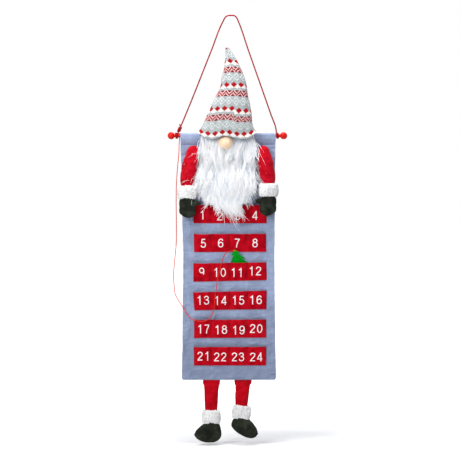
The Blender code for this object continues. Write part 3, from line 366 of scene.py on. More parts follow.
red_cord = cord_finish("twisted_polyester_red", ("#8C040E", "#AA0C1A", "#C01E2A"))
orange_cord = cord_finish("twisted_polyester_orange", ("#D2200F", "#EA3420", "#F2604A"))
left_edge = BANNER_X - BANNER_WIDTH / 2
right_edge = BANNER_X + BANNER_WIDTH / 2
marker_tie_x = left_edge - TOUCH_GAP - MARKER_CORD_DIAMETER * 1.5 - WINDING_GAP
left_tie_end = marker_tie_x - MARKER_CORD_DIAMETER / 2 - TOUCH_GAP - HANGING_CORD_DIAMETER / 2
left_tie_x = left_tie_end - 2 * (HANGING_CORD_DIAMETER + WINDING_GAP)
right_tie_x = right_edge + 2 * TOUCH_GAP + HANGING_CORD_DIAMETER / 2
left_tie = rod_tie("left_cord_tie", left_tie_x, HANGING_CORD_DIAMETER, 2, red_cord)
right_tie = rod_tie("right_cord_tie", right_tie_x, HANGING_CORD_DIAMETER, 1.5, red_cord)
tie_top = ROD_Z + rod_winding_radius(HANGING_CORD_DIAMETER) + HANGING_CORD_DIAMETER / 2 + TOUCH_GAP
hanging_route = [Vector((left_tie_end, 0, tie_top))]
hanging_route += [Vector((BANNER_WIDTH / 2 * across, 0, ROD_Z * down)) for across, down in HANGING_ROUTE]
hanging_route.append(Vector((right_tie_x, 0, tie_top)))
hanging_points = smooth_path(hanging_route, 136)
hanging = twisted_cord("twisted_hanging_cord", hanging_points, HANGING_CORD_DIAMETER, red_cord)

low_end = hanging_points[0] + (hanging_points[6] - hanging_points[0]).normalized() * KNOT_CORD_DIAMETER
knot_along = (hanging_points[6] - low_end).normalized()
knot_radius = (HANGING_CORD_DIAMETER / 2 + 2 * TOUCH_GAP + KNOT_CORD_DIAMETER / 2) / math.cos(math.pi / 9)
knot_pitch = KNOT_CORD_DIAMETER + WINDING_GAP
knot_points = winding(low_end, knot_along, Vector((0, 1, 0)), knot_radius, knot_pitch, 5, 27)
tail_way = ((knot_points[-1] - knot_points[-2]).normalized() + knot_along).normalized()
tail_end = knot_points[-1] + tail_way * 0.0085
knot_points += [knot_points[-1].lerp(tail_end, share) for share in (0.25, 0.5, 0.75, 1)]
left_knot = twisted_cord("wrapped_knot", knot_points, KNOT_CORD_DIAMETER, red_cord)
for piece, node in ((hanging, "hanging_cord"), (left_tie, "cord_tie_left"), (right_tie, "cord_tie_right"),
                    (left_knot, "cord_knot_left")):
    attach(piece, "hanging")
    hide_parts(node)

# The marker's cord: a thin orange-red cord from a turn round the rod, down beside the banner, in a loose
# loop over the pockets and up to the tip of the felt tree, where it is knotted.
MARKER_KNOT_DIAMETER = 0.0044
MARKER_STANDOFF = 0.0142
# Each place: across in shares of half the banner's width, forward in shares of the standoff, and down in shares of
# the banner's length
MARKER_ROUTE = (
    (-1.0249, 0.035, 0.0311), (-1.0319, 0.141, 0.0766), (-1.0545, 0.211, 0.1202), (-1.0809, 0.282, 0.1954),
    (-1.0872, 0.282, 0.2619), (-1.0825, 0.246, 0.3578), (-1.0825, 0.246, 0.4275), (-1.1222, 0.317, 0.5188),
    (-1.1432, 0.423, 0.5712), (-1.1307, 0.528, 0.6102), (-1.1035, 0.599, 0.6495), (-1.0148, 0.669, 0.6810),
    (-0.9354, 0.739, 0.7044), (-0.8553, 0.845, 0.7307), (-0.7479, 0.986, 0.7502), (-0.5735, 1.021, 0.7605),
    (-0.4661, 1.021, 0.7568), (-0.3868, 1.021, 0.7473), (-0.3191, 1.007, 0.7252), (-0.2856, 1.000, 0.6991),
    (-0.2708, 1.000, 0.6625), (-0.2374, 1.000, 0.6155), (-0.2125, 1.000, 0.5844), (-0.1580, 1.000, 0.5396),
    (-0.1237, 0.986, 0.5162), (-0.0778, 1.021, 0.4901), (-0.0171, 1.070, 0.4765),
)
marker_tie = rod_tie("marker_cord_tie", marker_tie_x, MARKER_CORD_DIAMETER, 1, orange_cord)
knot_low, knot_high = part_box("marker_knot")
marker_knot_centre = (knot_low + knot_high) / 2
tie_low = ROD_Z - rod_winding_radius(MARKER_CORD_DIAMETER) - MARKER_CORD_DIAMETER / 2 - TOUCH_GAP
marker_route = [Vector((left_edge - TOUCH_GAP - MARKER_CORD_DIAMETER, 0, tie_low))]
for across, forward, down in MARKER_ROUTE:
    marker_route.append(Vector((BANNER_X + BANNER_WIDTH / 2 * across, -MARKER_STANDOFF * forward,
                                ROD_Z - BANNER_LENGTH * down)))
marker_route.append(marker_knot_centre + Vector((-MARKER_KNOT_DIAMETER / 2 - TOUCH_GAP, 0, 0)))
marker_points = smooth_path(marker_route, 160)
marker_cord = twisted_cord("twisted_marker_cord", marker_points, MARKER_CORD_DIAMETER, orange_cord)

# The marker's knot: an overhand knot drawn tight in front of the tree's tip, with two short ends
knot_loop = []
for step in range(49):
    angle = TURN * step / 24
    wide = MARKER_KNOT_DIAMETER / 2 - MARKER_CORD_DIAMETER / 2
    knot_loop.append(marker_knot_centre + Vector((wide * math.cos(angle * 1.5), wide * 0.7 * math.sin(angle * 2.5),
                                                 wide * math.sin(angle * 1.5))))
marker_knot = twisted_cord("overhand_knot", knot_loop, MARKER_CORD_DIAMETER, orange_cord)
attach(marker_knot, "marker")
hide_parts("marker_knot")
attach(marker_tie, "hanging")
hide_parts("marker_tie")
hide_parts("marker_cord")
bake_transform(marker_cord)

# The banner: one length of blue cotton chambray, folded over the rod and stitched down as a casing, with
# narrow hems turned under at the sides and foot. Its colour is a dark warp crossed by a pale weft.
CLOTH_THICKNESS = 0.0018
CASING_RADIUS = 0.0059
CASING_DROP = 0.0235
FLAP_DROP = 0.0050
BANNER_BOTTOM = ROD_Z - BANNER_LENGTH
STITCH_Z = ROD_Z - CASING_DROP
HEM_WIDTH = 0.0090
STRIP_LEFT = -0.1010
STRIP_RIGHT = 0.0960
HANDS_BOTTOM = -0.5465
FOOT_HEM = 0.0140
FOOT_CORNER = 0.0055
RIPPLE_DEPTH = 0.0028
RIPPLE_COUNT = 3
# The cloth lies flat behind the felt tree, which slides up out of its pocket
TREE_X, TREE_Z = 0.0218, -0.6530
TREE_HALF_WIDTH, TREE_HALF_HEIGHT = 0.0250, 0.0200
# Each row: share of the way down, and how far out the left and the right edge stand there
EDGE_SHARES = ((0, 1.000, 1.000), (0.18, 0.975, 0.985), (0.50, 0.941, 0.977), (0.82, 0.955, 0.990), (1, 0.969, 1.008))
ROW_TOPS = tuple(ROD_Z - BANNER_LENGTH * (0.2841 + 0.5809 * share) for share in (0, 0.205, 0.406, 0.609, 0.809, 1))
STRIP_HEIGHT = 0.0490


def between(table, share):
    """The row of a table of shares at a given first share, eased from row to row."""
    for start, end in zip(table, table[1:]):
        if share <= end[0]:
            break
    part = min(max((share - start[0]) / (end[0] - start[0]), 0), 1)
    smooth = (1 - math.cos(math.pi * part)) / 2
    return [low + (high - low) * smooth for low, high in zip(start[1:], end[1:])]


def banner_edges(z):
    """The left and right edges at a height, drawn in at the waist and puckered a little by the hem's seam."""
    left, right = between(EDGE_SHARES, min(max((ROD_Z - z) / BANNER_LENGTH, 0), 1))
    pucker = 0.0007 * noise.noise(Vector((1.5, 0, z * 70)))
    other = 0.0007 * noise.noise(Vector((7.5, 0, z * 60)))
    return BANNER_X - BANNER_WIDTH / 2 * left + pucker, BANNER_X + BANNER_WIDTH / 2 * right + other


def eased(value):
    """A value from 0 to 1 that starts and ends gently."""
    value = min(max(value, 0), 1)
    return value * value * (3 - 2 * value)


def banner_relief(x, z, left, right):
    """How far the front of the cloth stands forward of flat: margins that wave, folds, hems and puckers."""
    down = (HANDS_BOTTOM - z) / (HANDS_BOTTOM - BANNER_BOTTOM)
    side = min(x - left, right - x)
    forward = 0.0
    if z < HANDS_BOTTOM and not STRIP_LEFT <= x <= STRIP_RIGHT:
        if x < STRIP_LEFT:
            outside = (STRIP_LEFT - x) / (STRIP_LEFT - left)
        else:
            outside = (x - STRIP_RIGHT) / (right - STRIP_RIGHT)
        forward += RIPPLE_DEPTH * (1 - math.cos(TURN * RIPPLE_COUNT * down)) / 2 * min(outside, 1) ** 2
    free = min(abs(z - (top - STRIP_HEIGHT / 2)) for top in ROW_TOPS) - STRIP_HEIGHT / 2
    loose = 1 if side < 0.020 else eased(free / 0.010)
    fade = loose * eased((STITCH_Z - z) / 0.015) * eased((z - BANNER_BOTTOM) / 0.004)
    if abs(z - TREE_Z) < TREE_HALF_HEIGHT:
        fade *= eased((abs(x - TREE_X) - TREE_HALF_WIDTH) / 0.008)
    folds = noise.noise(Vector((x * 22 + z * 12, 3.1, z * 30))) * 0.5
    folds += noise.noise(Vector((x * 60 + z * 45, 5.7, z * 95))) * 0.30
    sharp = 1 - abs(noise.noise(Vector((x * 28 - z * 26, 9.2, z * 40)))) * 3
    forward += fade * (0.0030 * (folds + 0.30) + 0.0022 * max(sharp, 0) ** 2)
    hem = 0.0005 * eased((HEM_WIDTH - side) / 0.0015) + 0.0004 * eased((BANNER_BOTTOM + FOOT_HEM - z) / 0.0015)
    dent = 0.0006 * math.exp(-(((side - HEM_WIDTH) / 0.0012) ** 2))
    dent += 0.0006 * math.exp(-(((z - BANNER_BOTTOM - FOOT_HEM) / 0.0012) ** 2)) * (side > HEM_WIDTH)
    pucker = 0.0005 * math.exp(-(((side - HEM_WIDTH) / 0.006) ** 2)) * noise.noise(Vector((x * 9, 2.2, z * 190)))
    under_casing = 0.0018 * math.exp(-(((STITCH_Z - 0.0048 - z) / 0.0026) ** 2))
    return forward + hem - dent + pucker * fade + under_casing


def corner_inset(x, z):
    """How far the cloth is drawn in at its rounded foot corners."""
    corner = eased((z - BANNER_BOTTOM) / FOOT_CORNER) ** 0.5 if z < BANNER_BOTTOM + FOOT_CORNER else 1
    return 0.0040 * (1 - corner) * (1 if x > BANNER_X else -1) * eased((abs(x - BANNER_X) - 0.11) / 0.02)


def closed_sheet(name, front, back):
    """A closed mesh between two grids of points with the same rows and columns."""
    builder = bmesh.new()
    sides = [[[builder.verts.new(point) for point in row] for row in grid] for grid in (front, back)]
    for grid in sides:
        for row, after in zip(grid, grid[1:]):
            for index in range(len(row) - 1):
                builder.faces.new((row[index], row[index + 1], after[index + 1], after[index]))
    rims = [grid[0] + [row[-1] for row in grid[1:-1]] + grid[-1][::-1] + [row[0] for row in grid[-2:0:-1]]
            for grid in sides]
    for index in range(len(rims[0])):
        after = (index + 1) % len(rims[0])
        builder.faces.new((rims[0][index], rims[0][after], rims[1][after], rims[1][index]))
    return plain_mesh(name, builder)


def plain_mesh(name, builder, sharp=50):
    """Ends a mesh builder: faces outwards, shaded smooth up to sharp edges."""
    bmesh.ops.recalc_face_normals(builder, faces=builder.faces)
    mesh = bpy.data.meshes.new(name)
    builder.to_mesh(mesh)
    builder.free()
    mesh.shade_smooth()
    mesh.set_sharp_from_angle(angle=math.radians(sharp))
    return mesh


def chambray_finish(name, warp, weft, shade):
    """Plain-woven cotton: threads 0.4 mm apart, drawn 1.3 mm apart so that they show, with slubs.

    The colour is painted darker towards the cloth's foot: painted shade, for the light that falls off there.
    """
    material, tree, shader, coords = begin_finish(name, warp, 0.88, 0.05)
    weft_colour, weft_cloud = mottled(tree, coords, 90, (shade, warp, weft), detail=4, stretch=(0.55, 1, 7))
    warp_colour, warp_cloud = mottled(tree, coords, 90, (shade, warp, weft), detail=4, stretch=(7, 1, 0.55))
    mixed = add_node(tree, "ShaderNodeMix", {"data_type": "RGBA", 0: 0.45}, {6: weft_colour, 7: warp_colour})
    worn, _ = mottled(tree, coords, 26, ("#E6E6E6", "#FFFFFF"), detail=2)
    washed = add_node(tree, "ShaderNodeMix", {"data_type": "RGBA", "blend_type": "MULTIPLY", 0: 1.0},
                      {6: mixed.outputs[2], 7: worn})
    # Painted shade: the colour is darkened to 0.78 of itself towards the foot of the cloth
    up_the_cloth = add_node(tree, "ShaderNodeSeparateXYZ", {}, {0: coords})
    painted_foot_shade = add_node(tree, "ShaderNodeMapRange", {1: -0.95, 2: -0.74, 3: 0.78, 4: 1.0}, {0: up_the_cloth.outputs[2]})
    foot_shaded_colour = add_node(tree, "ShaderNodeMix", {"data_type": "RGBA", "blend_type": "MULTIPLY", 0: 1.0},
                    {6: washed.outputs[2], 7: painted_foot_shade.outputs[0]})
    tree.links.new(foot_shaded_colour.outputs[2], shader.inputs["Base Color"])
    threads = []
    for direction in ("X", "Z"):
        threads.append(add_node(tree, "ShaderNodeTexWave", {"bands_direction": direction, "Scale": 240,
                                                            "Distortion": 1.2, "Detail": 1}, {"Vector": coords}))
    weave = add_node(tree, "ShaderNodeMath", {"operation": "MULTIPLY"},
                     {0: threads[0].outputs[1], 1: threads[1].outputs[1]})
    slubs = add_node(tree, "ShaderNodeMath", {"operation": "ADD"}, {0: weft_cloud, 1: warp_cloud})
    height = add_node(tree, "ShaderNodeMath", {"operation": "ADD"}, {0: weave.outputs[0], 1: slubs.outputs[0]})
    relief(tree, shader, height.outputs[0], 0.0003, 0.45)
    return material


chambray = chambray_finish("woven_cotton_chambray", "#97A5C3", "#A4B1CC", "#8E9CBC")
front_profile = []
half_gap = (TOUCH_GAP + CLOTH_THICKNESS) / 2
for step in range(221):
    front_profile.append((-half_gap, BANNER_BOTTOM + (STITCH_Z - BANNER_BOTTOM) * step / 220))
tangent = math.acos(CASING_RADIUS / math.hypot(half_gap, CASING_DROP))
for step in range(33):
    angle = tangent + (TURN - 2 * tangent) * step / 32
    front_profile.append((-CASING_RADIUS * math.sin(angle), ROD_Z - CASING_RADIUS * math.cos(angle)))
casing_start = Vector((-half_gap, STITCH_Z))
casing_end = Vector((-CASING_RADIUS * math.sin(tangent), ROD_Z - CASING_RADIUS * math.cos(tangent)))
slack_points = []
for step in range(1, 8):
    slack_point = casing_start.lerp(casing_end, step / 8)
    slack_points.append((slack_point.x - 0.0026 * math.sin(math.pi * step / 8) ** 0.5, slack_point.y))
front_profile[221:221] = slack_points
front_profile += [(half_gap, STITCH_Z), (half_gap, STITCH_Z - FLAP_DROP / 2), (half_gap, STITCH_Z - FLAP_DROP)]
outer_grid = []
inner_grid = []
for index, (y, z) in enumerate(front_profile):
    before = front_profile[max(index - 1, 0)]
    after = front_profile[min(index + 1, len(front_profile) - 1)]
    run = Vector((after[0] - before[0], after[1] - before[1])).normalized()
    left, right = banner_edges(z)
    half_y, half_z = run.y * CLOTH_THICKNESS / 2, run.x * CLOTH_THICKNESS / 2
    outer_grid.append([])
    inner_grid.append([])
    for column in range(101):
        x = left + (right - left) * column / 100
        inset = corner_inset(x, z)
        stand = banner_relief(x, z, left, right) if index <= 220 else 0
        outer_grid[-1].append(Vector((x - inset, y - half_y - stand, z + half_z)))
        inner_grid[-1].append(Vector((x - inset, y + half_y - stand * 0.8, z - half_z)))
banner = put("chambray_banner", closed_sheet("chambray_banner", outer_grid, inner_grid))
banner.data.materials.append(chambray)
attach(banner, "hanging")
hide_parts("banner")

# The lining: a plainer, darker cotton cloth of the banner's size, cut flat and sewn to its back along the hems,
# so that it follows the banner's folds. It isn't seen in the photograph.
LINING_THICKNESS = 0.0012
lining_cloth = chambray_finish("plain_cotton_lining", "#76839F", "#8E9AB5", "#66728E")
lining_front = []
lining_back = []
lining_top = STITCH_Z - FLAP_DROP - TOUCH_GAP
for step in range(111):
    z = BANNER_BOTTOM + (lining_top - BANNER_BOTTOM) * step / 110
    left, right = banner_edges(z)
    lining_front.append([])
    lining_back.append([])
    for column in range(61):
        x = left + (right - left) * column / 60
        inset = corner_inset(x, z)
        stand = banner_relief(x, z, left, right) * 0.8
        lining_front[-1].append(Vector((x - inset, TOUCH_GAP / 2 - stand, z)))
        lining_back[-1].append(Vector((x - inset, TOUCH_GAP / 2 + LINING_THICKNESS - stand, z)))
lining = put("cotton_lining", closed_sheet("cotton_lining", lining_front, lining_back))
lining.data.materials.append(lining_cloth)
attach(lining, "hanging")
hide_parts("back_lining")

# The seams: lock stitches of polyester thread, in a bold dark row under the casing and in fine blue rows along
# both side hems and the foot. Each visible stitch is a bead of thread that lies on the cloth. The casing row's
# dark colour is partly the thread's own and partly painted shade of the fold over the seam.
stitch_tree = geometry_tree("lock_stitches", (
    ("Pitch", "Float"), ("Length", "Float"), ("Thickness", "Float"), ("Material", "Material"),
), (
    ("seam", "GeometryNodeMeshToCurve", {}, {0: "in.Geometry"}),
    ("places", "GeometryNodeCurveToPoints", {"mode": "LENGTH"}, {"Curve": "seam", "Length": "in.Pitch"}),
    ("bead", "GeometryNodeMeshUVSphere", {"Segments": 6, "Rings": 4, "Radius": 0.5}, {}),
    ("size", "ShaderNodeCombineXYZ", {}, {0: "in.Thickness", 1: "in.Thickness", 2: "in.Length"}),
    ("stitch", "GeometryNodeTransform", {}, {"Geometry": "bead", "Scale": "size"}),
    ("copies", "GeometryNodeInstanceOnPoints", {},
     {"Points": "places.Points", "Instance": "stitch", "Rotation": "places.Rotation"}),
))


def thread_finish(name, dark, light):
    """Spun polyester sewing thread, with a faint sheen."""
    material, tree, shader, coords = begin_finish(name, dark, 0.55, 0.08)
    colour, _ = mottled(tree, coords, 1500, (dark, light), detail=1)
    tree.links.new(colour, shader.inputs["Base Color"])
    return material


def stitches(name, lines, finish, body, pitch=0.0036, length=0.0028, thickness=0.0006):
    """Rows of stitches along the lines, sewn to a body."""
    values = {"Pitch": pitch, "Length": length, "Thickness": thickness, "Material": finish}
    piece = made_by(stitch_tree, line_object(name, lines), values)
    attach(piece, body)


def on_banner(x, z):
    """The place on the banner's front where a stitch lies."""
    left, right = banner_edges(z)
    return Vector((x, -half_gap - CLOTH_THICKNESS / 2 - banner_relief(x, z, left, right) - 0.0001, z))


blue_thread = thread_finish("blue_sewing_thread", "#66749A", "#8894B8")
casing_seam = [Vector((left_edge + 0.002 + (BANNER_WIDTH - 0.004) * step / 60, -0.0022, STITCH_Z + 0.0004))
               for step in range(61)]
side_heights = [STITCH_Z - 0.004 - (STITCH_Z - BANNER_BOTTOM - 0.018) * step / 150 for step in range(151)]
left_seam = [on_banner(banner_edges(z)[0] + HEM_WIDTH, z) for z in side_heights]
right_seam = [on_banner(banner_edges(z)[1] - HEM_WIDTH, z) for z in side_heights]
foot_seam = [on_banner(left_edge + 0.014 + (BANNER_WIDTH - 0.024) * step / 60, BANNER_BOTTOM + FOOT_HEM)
             for step in range(61)]
# The casing row is darker than its thread alone: partly painted shade of the fold that overhangs the seam
casing_thread_and_shade = thread_finish("dark_thread_with_painted_shade", "#2C3A60", "#46547E")
stitches("banner_stitches", [left_seam, right_seam, foot_seam], blue_thread, "hanging")
stitches("casing_stitches", [casing_seam], casing_thread_and_shade, "hanging", 0.0042, 0.0040, 0.0016)

# The rod and its balls: turned beech, painted with glossy red enamel. The rod runs through the casing and
# ends in a ball on each side.
BALL_RADIUS = 0.0100
BALL_SIDES = 48
# Enamel sprayed on wood: a clear highlight, over a faint grain
enamel, enamel_tree, enamel_shader, enamel_coords = begin_finish("glossy_red_enamel", "#D8140E", 0.22, gloss=0.14)
enamel_colour, _ = mottled(enamel_tree, enamel_coords, 120, ("#C80E06", "#D8180C"), detail=2)
enamel_tree.links.new(enamel_colour, enamel_shader.inputs["Base Color"])
_, grain = mottled(enamel_tree, enamel_coords, 400, ("#000000", "#FFFFFF"), detail=2, stretch=(0.2, 1, 1))
relief(enamel_tree, enamel_shader, grain, 0.00008, 0.35)
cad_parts["dowel"].data.materials.clear()
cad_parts["dowel"].data.materials.append(enamel)


def turned_ball(name, node, outward):
    """A ball turned with a small flat where the rod's hole is drilled."""
    low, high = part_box(node)
    centre_x = (high.x if outward > 0 else low.x) - outward * BALL_RADIUS
    builder = bmesh.new()
    mouth = math.asin((ROD_RADIUS + TOUCH_GAP) / BALL_RADIUS)
    profile = [(BALL_RADIUS * math.cos(angle), BALL_RADIUS * math.sin(angle))
               for angle in ((math.pi - mouth) * step / 28 for step in range(29))]
    profile.append((profile[-1][0] + 0.004, ROD_RADIUS + TOUCH_GAP))
    rings = []
    for along, radius in profile[1:]:
        rings.append([builder.verts.new((centre_x + outward * along, radius * math.cos(TURN * side / BALL_SIDES),
                                         ROD_Z + radius * math.sin(TURN * side / BALL_SIDES)))
                      for side in range(BALL_SIDES)])
    tip = builder.verts.new((centre_x + outward * BALL_RADIUS, 0, ROD_Z))
    base = builder.verts.new((centre_x + outward * profile[-1][0], 0, ROD_Z))
    for ring, after in zip(rings, rings[1:]):
        for side in range(BALL_SIDES):
            following = (side + 1) % BALL_SIDES
            builder.faces.new((ring[side], ring[following], after[following], after[side]))
    for side in range(BALL_SIDES):
        following = (side + 1) % BALL_SIDES
        builder.faces.new((rings[0][side], rings[0][following], tip))
        builder.faces.new((rings[-1][side], rings[-1][following], base))
    ball = put(name, plain_mesh(name, builder, 40))
    ball.data.materials.append(enamel)
    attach(ball, "rod")
    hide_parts(node)


turned_ball("left_ball", "finial_left", -1)
turned_ball("right_ball", "finial_right", 1)

# The pockets: six strips of red wool-blend felt, sewn down at the ends, the foot and three seams, so that
# each makes four pockets, which stand a little open at the top. Felt shows short matted fibres.
SEAT_Y = -0.00225
SEAM_SHARES = (0, 0.248, 0.501, 0.742, 1)
POCKET_DEPTH = 0.0080
FELT_THICKNESS = 0.0016
# How far each strip's corners lie off true, x and z: top left, top right, bottom left, bottom right
ROW_SHIFTS = (
    ((0, 0), (0, 0), (0, 0), (0, 0)),
    ((0.0006, 0.0003), (-0.0022, 0.0012), (0.0016, 0.0006), (-0.0010, 0.0014)),
    ((-0.0006, -0.0016), (-0.0008, 0.0012), (-0.0006, -0.0024), (0.0008, 0.0020)),
    ((-0.0016, -0.0020), (0.0004, 0.0026), (0.0022, -0.0014), (-0.0008, 0.0014)),
    ((0.0016, 0.0004), (-0.0014, 0.0018), (0.0014, 0.0002), (-0.0012, 0.0012)),
    ((0.0006, 0.0002), (-0.0010, 0.0010), (0.0012, -0.0008), (-0.0016, -0.0004)),
)


def felt_finish(name, colours):
    """Pressed felt: matted fibres about 1 mm long, which mottle the colour and roughen the surface."""
    material, tree, shader, coords = begin_finish(name, colours[0], 0.93, 0.06, 0.03)
    cloud, _ = mottled(tree, coords, 70, colours, detail=4)
    fibre_colour, fibres = mottled(tree, coords, 750, ("#D8D8D8", "#FFFFFF"), detail=3, stretch=(1, 1, 1.6))
    mixed = add_node(tree, "ShaderNodeMix", {"data_type": "RGBA", "blend_type": "MULTIPLY", 0: 0.7},
                     {6: cloud, 7: fibre_colour})
    tree.links.new(mixed.outputs[2], shader.inputs["Base Color"])
    relief(tree, shader, fibres, 0.0004, 0.5)
    return material


red_felt = felt_finish("pressed_felt_red", ("#A80016", "#BE0419", "#CC0A22"))
red_thread = thread_finish("red_sewing_thread", "#8E0517", "#BC1A2C")


def strip_point(row, across, up, gap=0.0, slump=1.0):
    """A point of a strip's front: across and up from 0 to 1, gap metres in front of the felt's face."""
    (tlx, tlz), (trx, trz), (blx, blz), (brx, brz) = ROW_SHIFTS[row]
    x = STRIP_LEFT + (STRIP_RIGHT - STRIP_LEFT) * across
    x += (blx * (1 - up) + tlx * up) * (1 - across) + (brx * (1 - up) + trx * up) * across
    z = ROW_TOPS[row] - STRIP_HEIGHT * (1 - up)
    z += (blz * (1 - up) + tlz * up) * (1 - across) + (brz * (1 - up) + trz * up) * across
    for start, end in zip(SEAM_SHARES, SEAM_SHARES[1:]):
        if across <= end:
            break
    inside = 2 * (across - start) / (end - start) - 1
    bulge = POCKET_DEPTH * (1 - abs(inside) ** 4) * (1 - (1 - up) ** 2)
    uneven = noise.noise(Vector((x * 45, row * 3.7, z * 45))) * 0.0009 * (1 - inside * inside) * up
    z -= 0.0008 * slump * up ** 3 * (1 - inside * inside) * (0.6 + noise.noise(Vector((x * 30, row, 1.5))))
    dent = 0.0004 * math.exp(-(((up * STRIP_HEIGHT - 0.0022) / 0.0009) ** 2))
    return Vector((x, SEAT_Y - bulge - uneven - gap + dent, z))


for row in range(6):
    felt_front = []
    felt_back = []
    for level in range(17):
        up = level / 16
        felt_front.append([strip_point(row, column / 96, up, FELT_THICKNESS) for column in range(97)])
        felt_back.append([strip_point(row, column / 96, up) for column in range(97)])
    strip = put(f"felt_strip_{row + 1}", closed_sheet("felt_strip", felt_front, felt_back))
    strip.data.materials.append(red_felt)
    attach(strip, "hanging")
    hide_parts(f"pocket_row_{row + 1}")
    seams = [[strip_point(row, min(max(share, 0.008), 0.992), 0.05 + 0.93 * step / 14, FELT_THICKNESS + 0.0001)
              for step in range(15)] for share in SEAM_SHARES]
    seams.append([strip_point(row, 0.008 + 0.984 * step / 96, 0.045, FELT_THICKNESS + 0.0001) for step in range(97)])
    stitches(f"strip_stitches_{row + 1}", seams, red_thread, "hanging")

# The numbers: 1 to 24, about 25 mm high, cut from white flock film and heat-pressed on the felt one by one, so
# they stand a little unevenly. Flock is a dense nap of short fibres, matt and slightly raised.
NUMBER_HEIGHT = 0.0245
STROKE_SHARE = 0.106
ADVANCE_SHARE = 0.777
# How far each number lies off the middle of its pocket, x and z, from 1 to 24
NUMBER_SHIFTS = (
    (-0.0004, -0.0022), (-0.0033, -0.0051), (-0.0033, -0.0043), (-0.0058, -0.0032), (0.0021, -0.0001),
    (-0.0006, 0.0007), (-0.0044, 0.0007), (-0.0058, 0.0007), (-0.0023, -0.0006), (-0.0033, -0.0017),
    (-0.0052, -0.0017), (-0.0058, 0.0023), (0.0012, 0.0012), (-0.0011, 0.0004), (-0.0023, 0.0012),
    (-0.0042, 0.0023), (0.0029, 0.0003), (0, -0.0016), (-0.0012, -0.0027), (-0.0028, 0.0014),
    (0.0029, 0.0002), (-0.0017, -0.0019), (-0.0025, -0.0019), (-0.0025, -0.0019),
)
flock, flock_tree, flock_shader, flock_coords = begin_finish("pressed_white_flock", "#F8F5F3", 0.8, 0.2)
flock_colour, flock_fibres = mottled(flock_tree, flock_coords, 900, ("#EEE9E8", "#FCFBFA"), detail=2)
flock_tree.links.new(flock_colour, flock_shader.inputs["Base Color"])
relief(flock_tree, flock_shader, flock_fibres, 0.0002, 0.4)


def loop_line(centre_x, centre_y, half_width, half_height):
    """A closed oval stroke, as in 0 and 8."""
    return [(centre_x + half_width * math.sin(TURN * step / 12), centre_y + half_height * math.cos(TURN * step / 12))
            for step in range(13)]


# The middle line of a 6, which gives the 9 when it is turned round
SIX = ((0.53, 0.74), (0.49, 0.86), (0.40, 0.92), (0.31, 0.93), (0.19, 0.87), (0.11, 0.72), (0.075, 0.50), (0.085, 0.28),
       (0.14, 0.14), (0.23, 0.08), (0.32, 0.07), (0.44, 0.11), (0.53, 0.22), (0.545, 0.33), (0.50, 0.49), (0.41, 0.57),
       (0.31, 0.58), (0.20, 0.54), (0.11, 0.43), (0.08, 0.33))
# Each figure is one or more strokes, as the places of their middle line in shares of the height
STROKES = (
    (loop_line(0.31, 0.50, 0.24, 0.43),),
    (((0.36, 0), (0.36, 1)), ((0.36, 0.93), (0.26, 0.83), (0.13, 0.75))),
    (((0.085, 0.70), (0.10, 0.81), (0.18, 0.90), (0.31, 0.93), (0.44, 0.90), (0.525, 0.81), (0.53, 0.70), (0.49, 0.59),
      (0.38, 0.46), (0.25, 0.33), (0.14, 0.20), (0.09, 0.07)), ((0.02, 0.07), (0.56, 0.07))),
    (((0.08, 0.73), (0.11, 0.83), (0.19, 0.91), (0.30, 0.93), (0.42, 0.90), (0.49, 0.82), (0.49, 0.70), (0.43, 0.60),
      (0.30, 0.55), (0.22, 0.55)), ((0.30, 0.55), (0.44, 0.51), (0.53, 0.41), (0.54, 0.28), (0.48, 0.15), (0.38, 0.085),
      (0.29, 0.07), (0.17, 0.10), (0.09, 0.18), (0.065, 0.28))),
    (((0.43, 0), (0.43, 0.98)), ((0.43, 0.95), (0.05, 0.31)), ((0.01, 0.27), (0.58, 0.27))),
    (((0.15, 0.93), (0.52, 0.93)), ((0.17, 0.93), (0.11, 0.50)), ((0.11, 0.50), (0.18, 0.56), (0.29, 0.60),
      (0.42, 0.56), (0.52, 0.46), (0.54, 0.32), (0.50, 0.18), (0.41, 0.095), (0.29, 0.07), (0.17, 0.10), (0.09, 0.18),
      (0.065, 0.27))),
    (SIX,),
    (((0.05, 0.93), (0.55, 0.93)), ((0.55, 0.93), (0.42, 0.73), (0.32, 0.52), (0.255, 0.30), (0.22, 0))),
    (loop_line(0.31, 0.745, 0.20, 0.185), loop_line(0.31, 0.315, 0.24, 0.245)),
    (tuple((0.62 - x, 1 - y) for x, y in SIX),),
)


def flock_stroke(builder, row, line, raise_by):
    """A raised ribbon of flock along a stroke's middle line, which follows the felt it is pressed on."""
    count = max(round(length_of(line) / 0.0010), 3)
    if len(line) > 2:
        path = smooth_path(line, count)
    else:
        path = [line[0].lerp(line[1], step / (count - 1)) for step in range(count)]
    half = NUMBER_HEIGHT * STROKE_SHARE / 2
    stations = []
    for index, point in enumerate(path):
        run = (path[min(index + 1, count - 1)] - path[max(index - 1, 0)]).normalized()
        side = Vector((-run.z, 0, run.x)) * half
        station = []
        for edge, lift in ((side, -0.0002), (side, 0.0003 + raise_by), (-side, 0.0003 + raise_by), (-side, -0.0002)):
            place = point + edge
            across = (place.x - STRIP_LEFT) / (STRIP_RIGHT - STRIP_LEFT)
            up = 1 - (ROW_TOPS[row] - place.z) / STRIP_HEIGHT
            place.y = strip_point(row, across, up, FELT_THICKNESS + lift, 0).y
            station.append(builder.verts.new(place))
        stations.append(station)
    for before, after in zip(stations, stations[1:]):
        for corner in range(4):
            following = (corner + 1) % 4
            builder.faces.new((before[corner], before[following], after[following], after[corner]))
    builder.faces.new(stations[0])
    builder.faces.new(stations[-1][::-1])


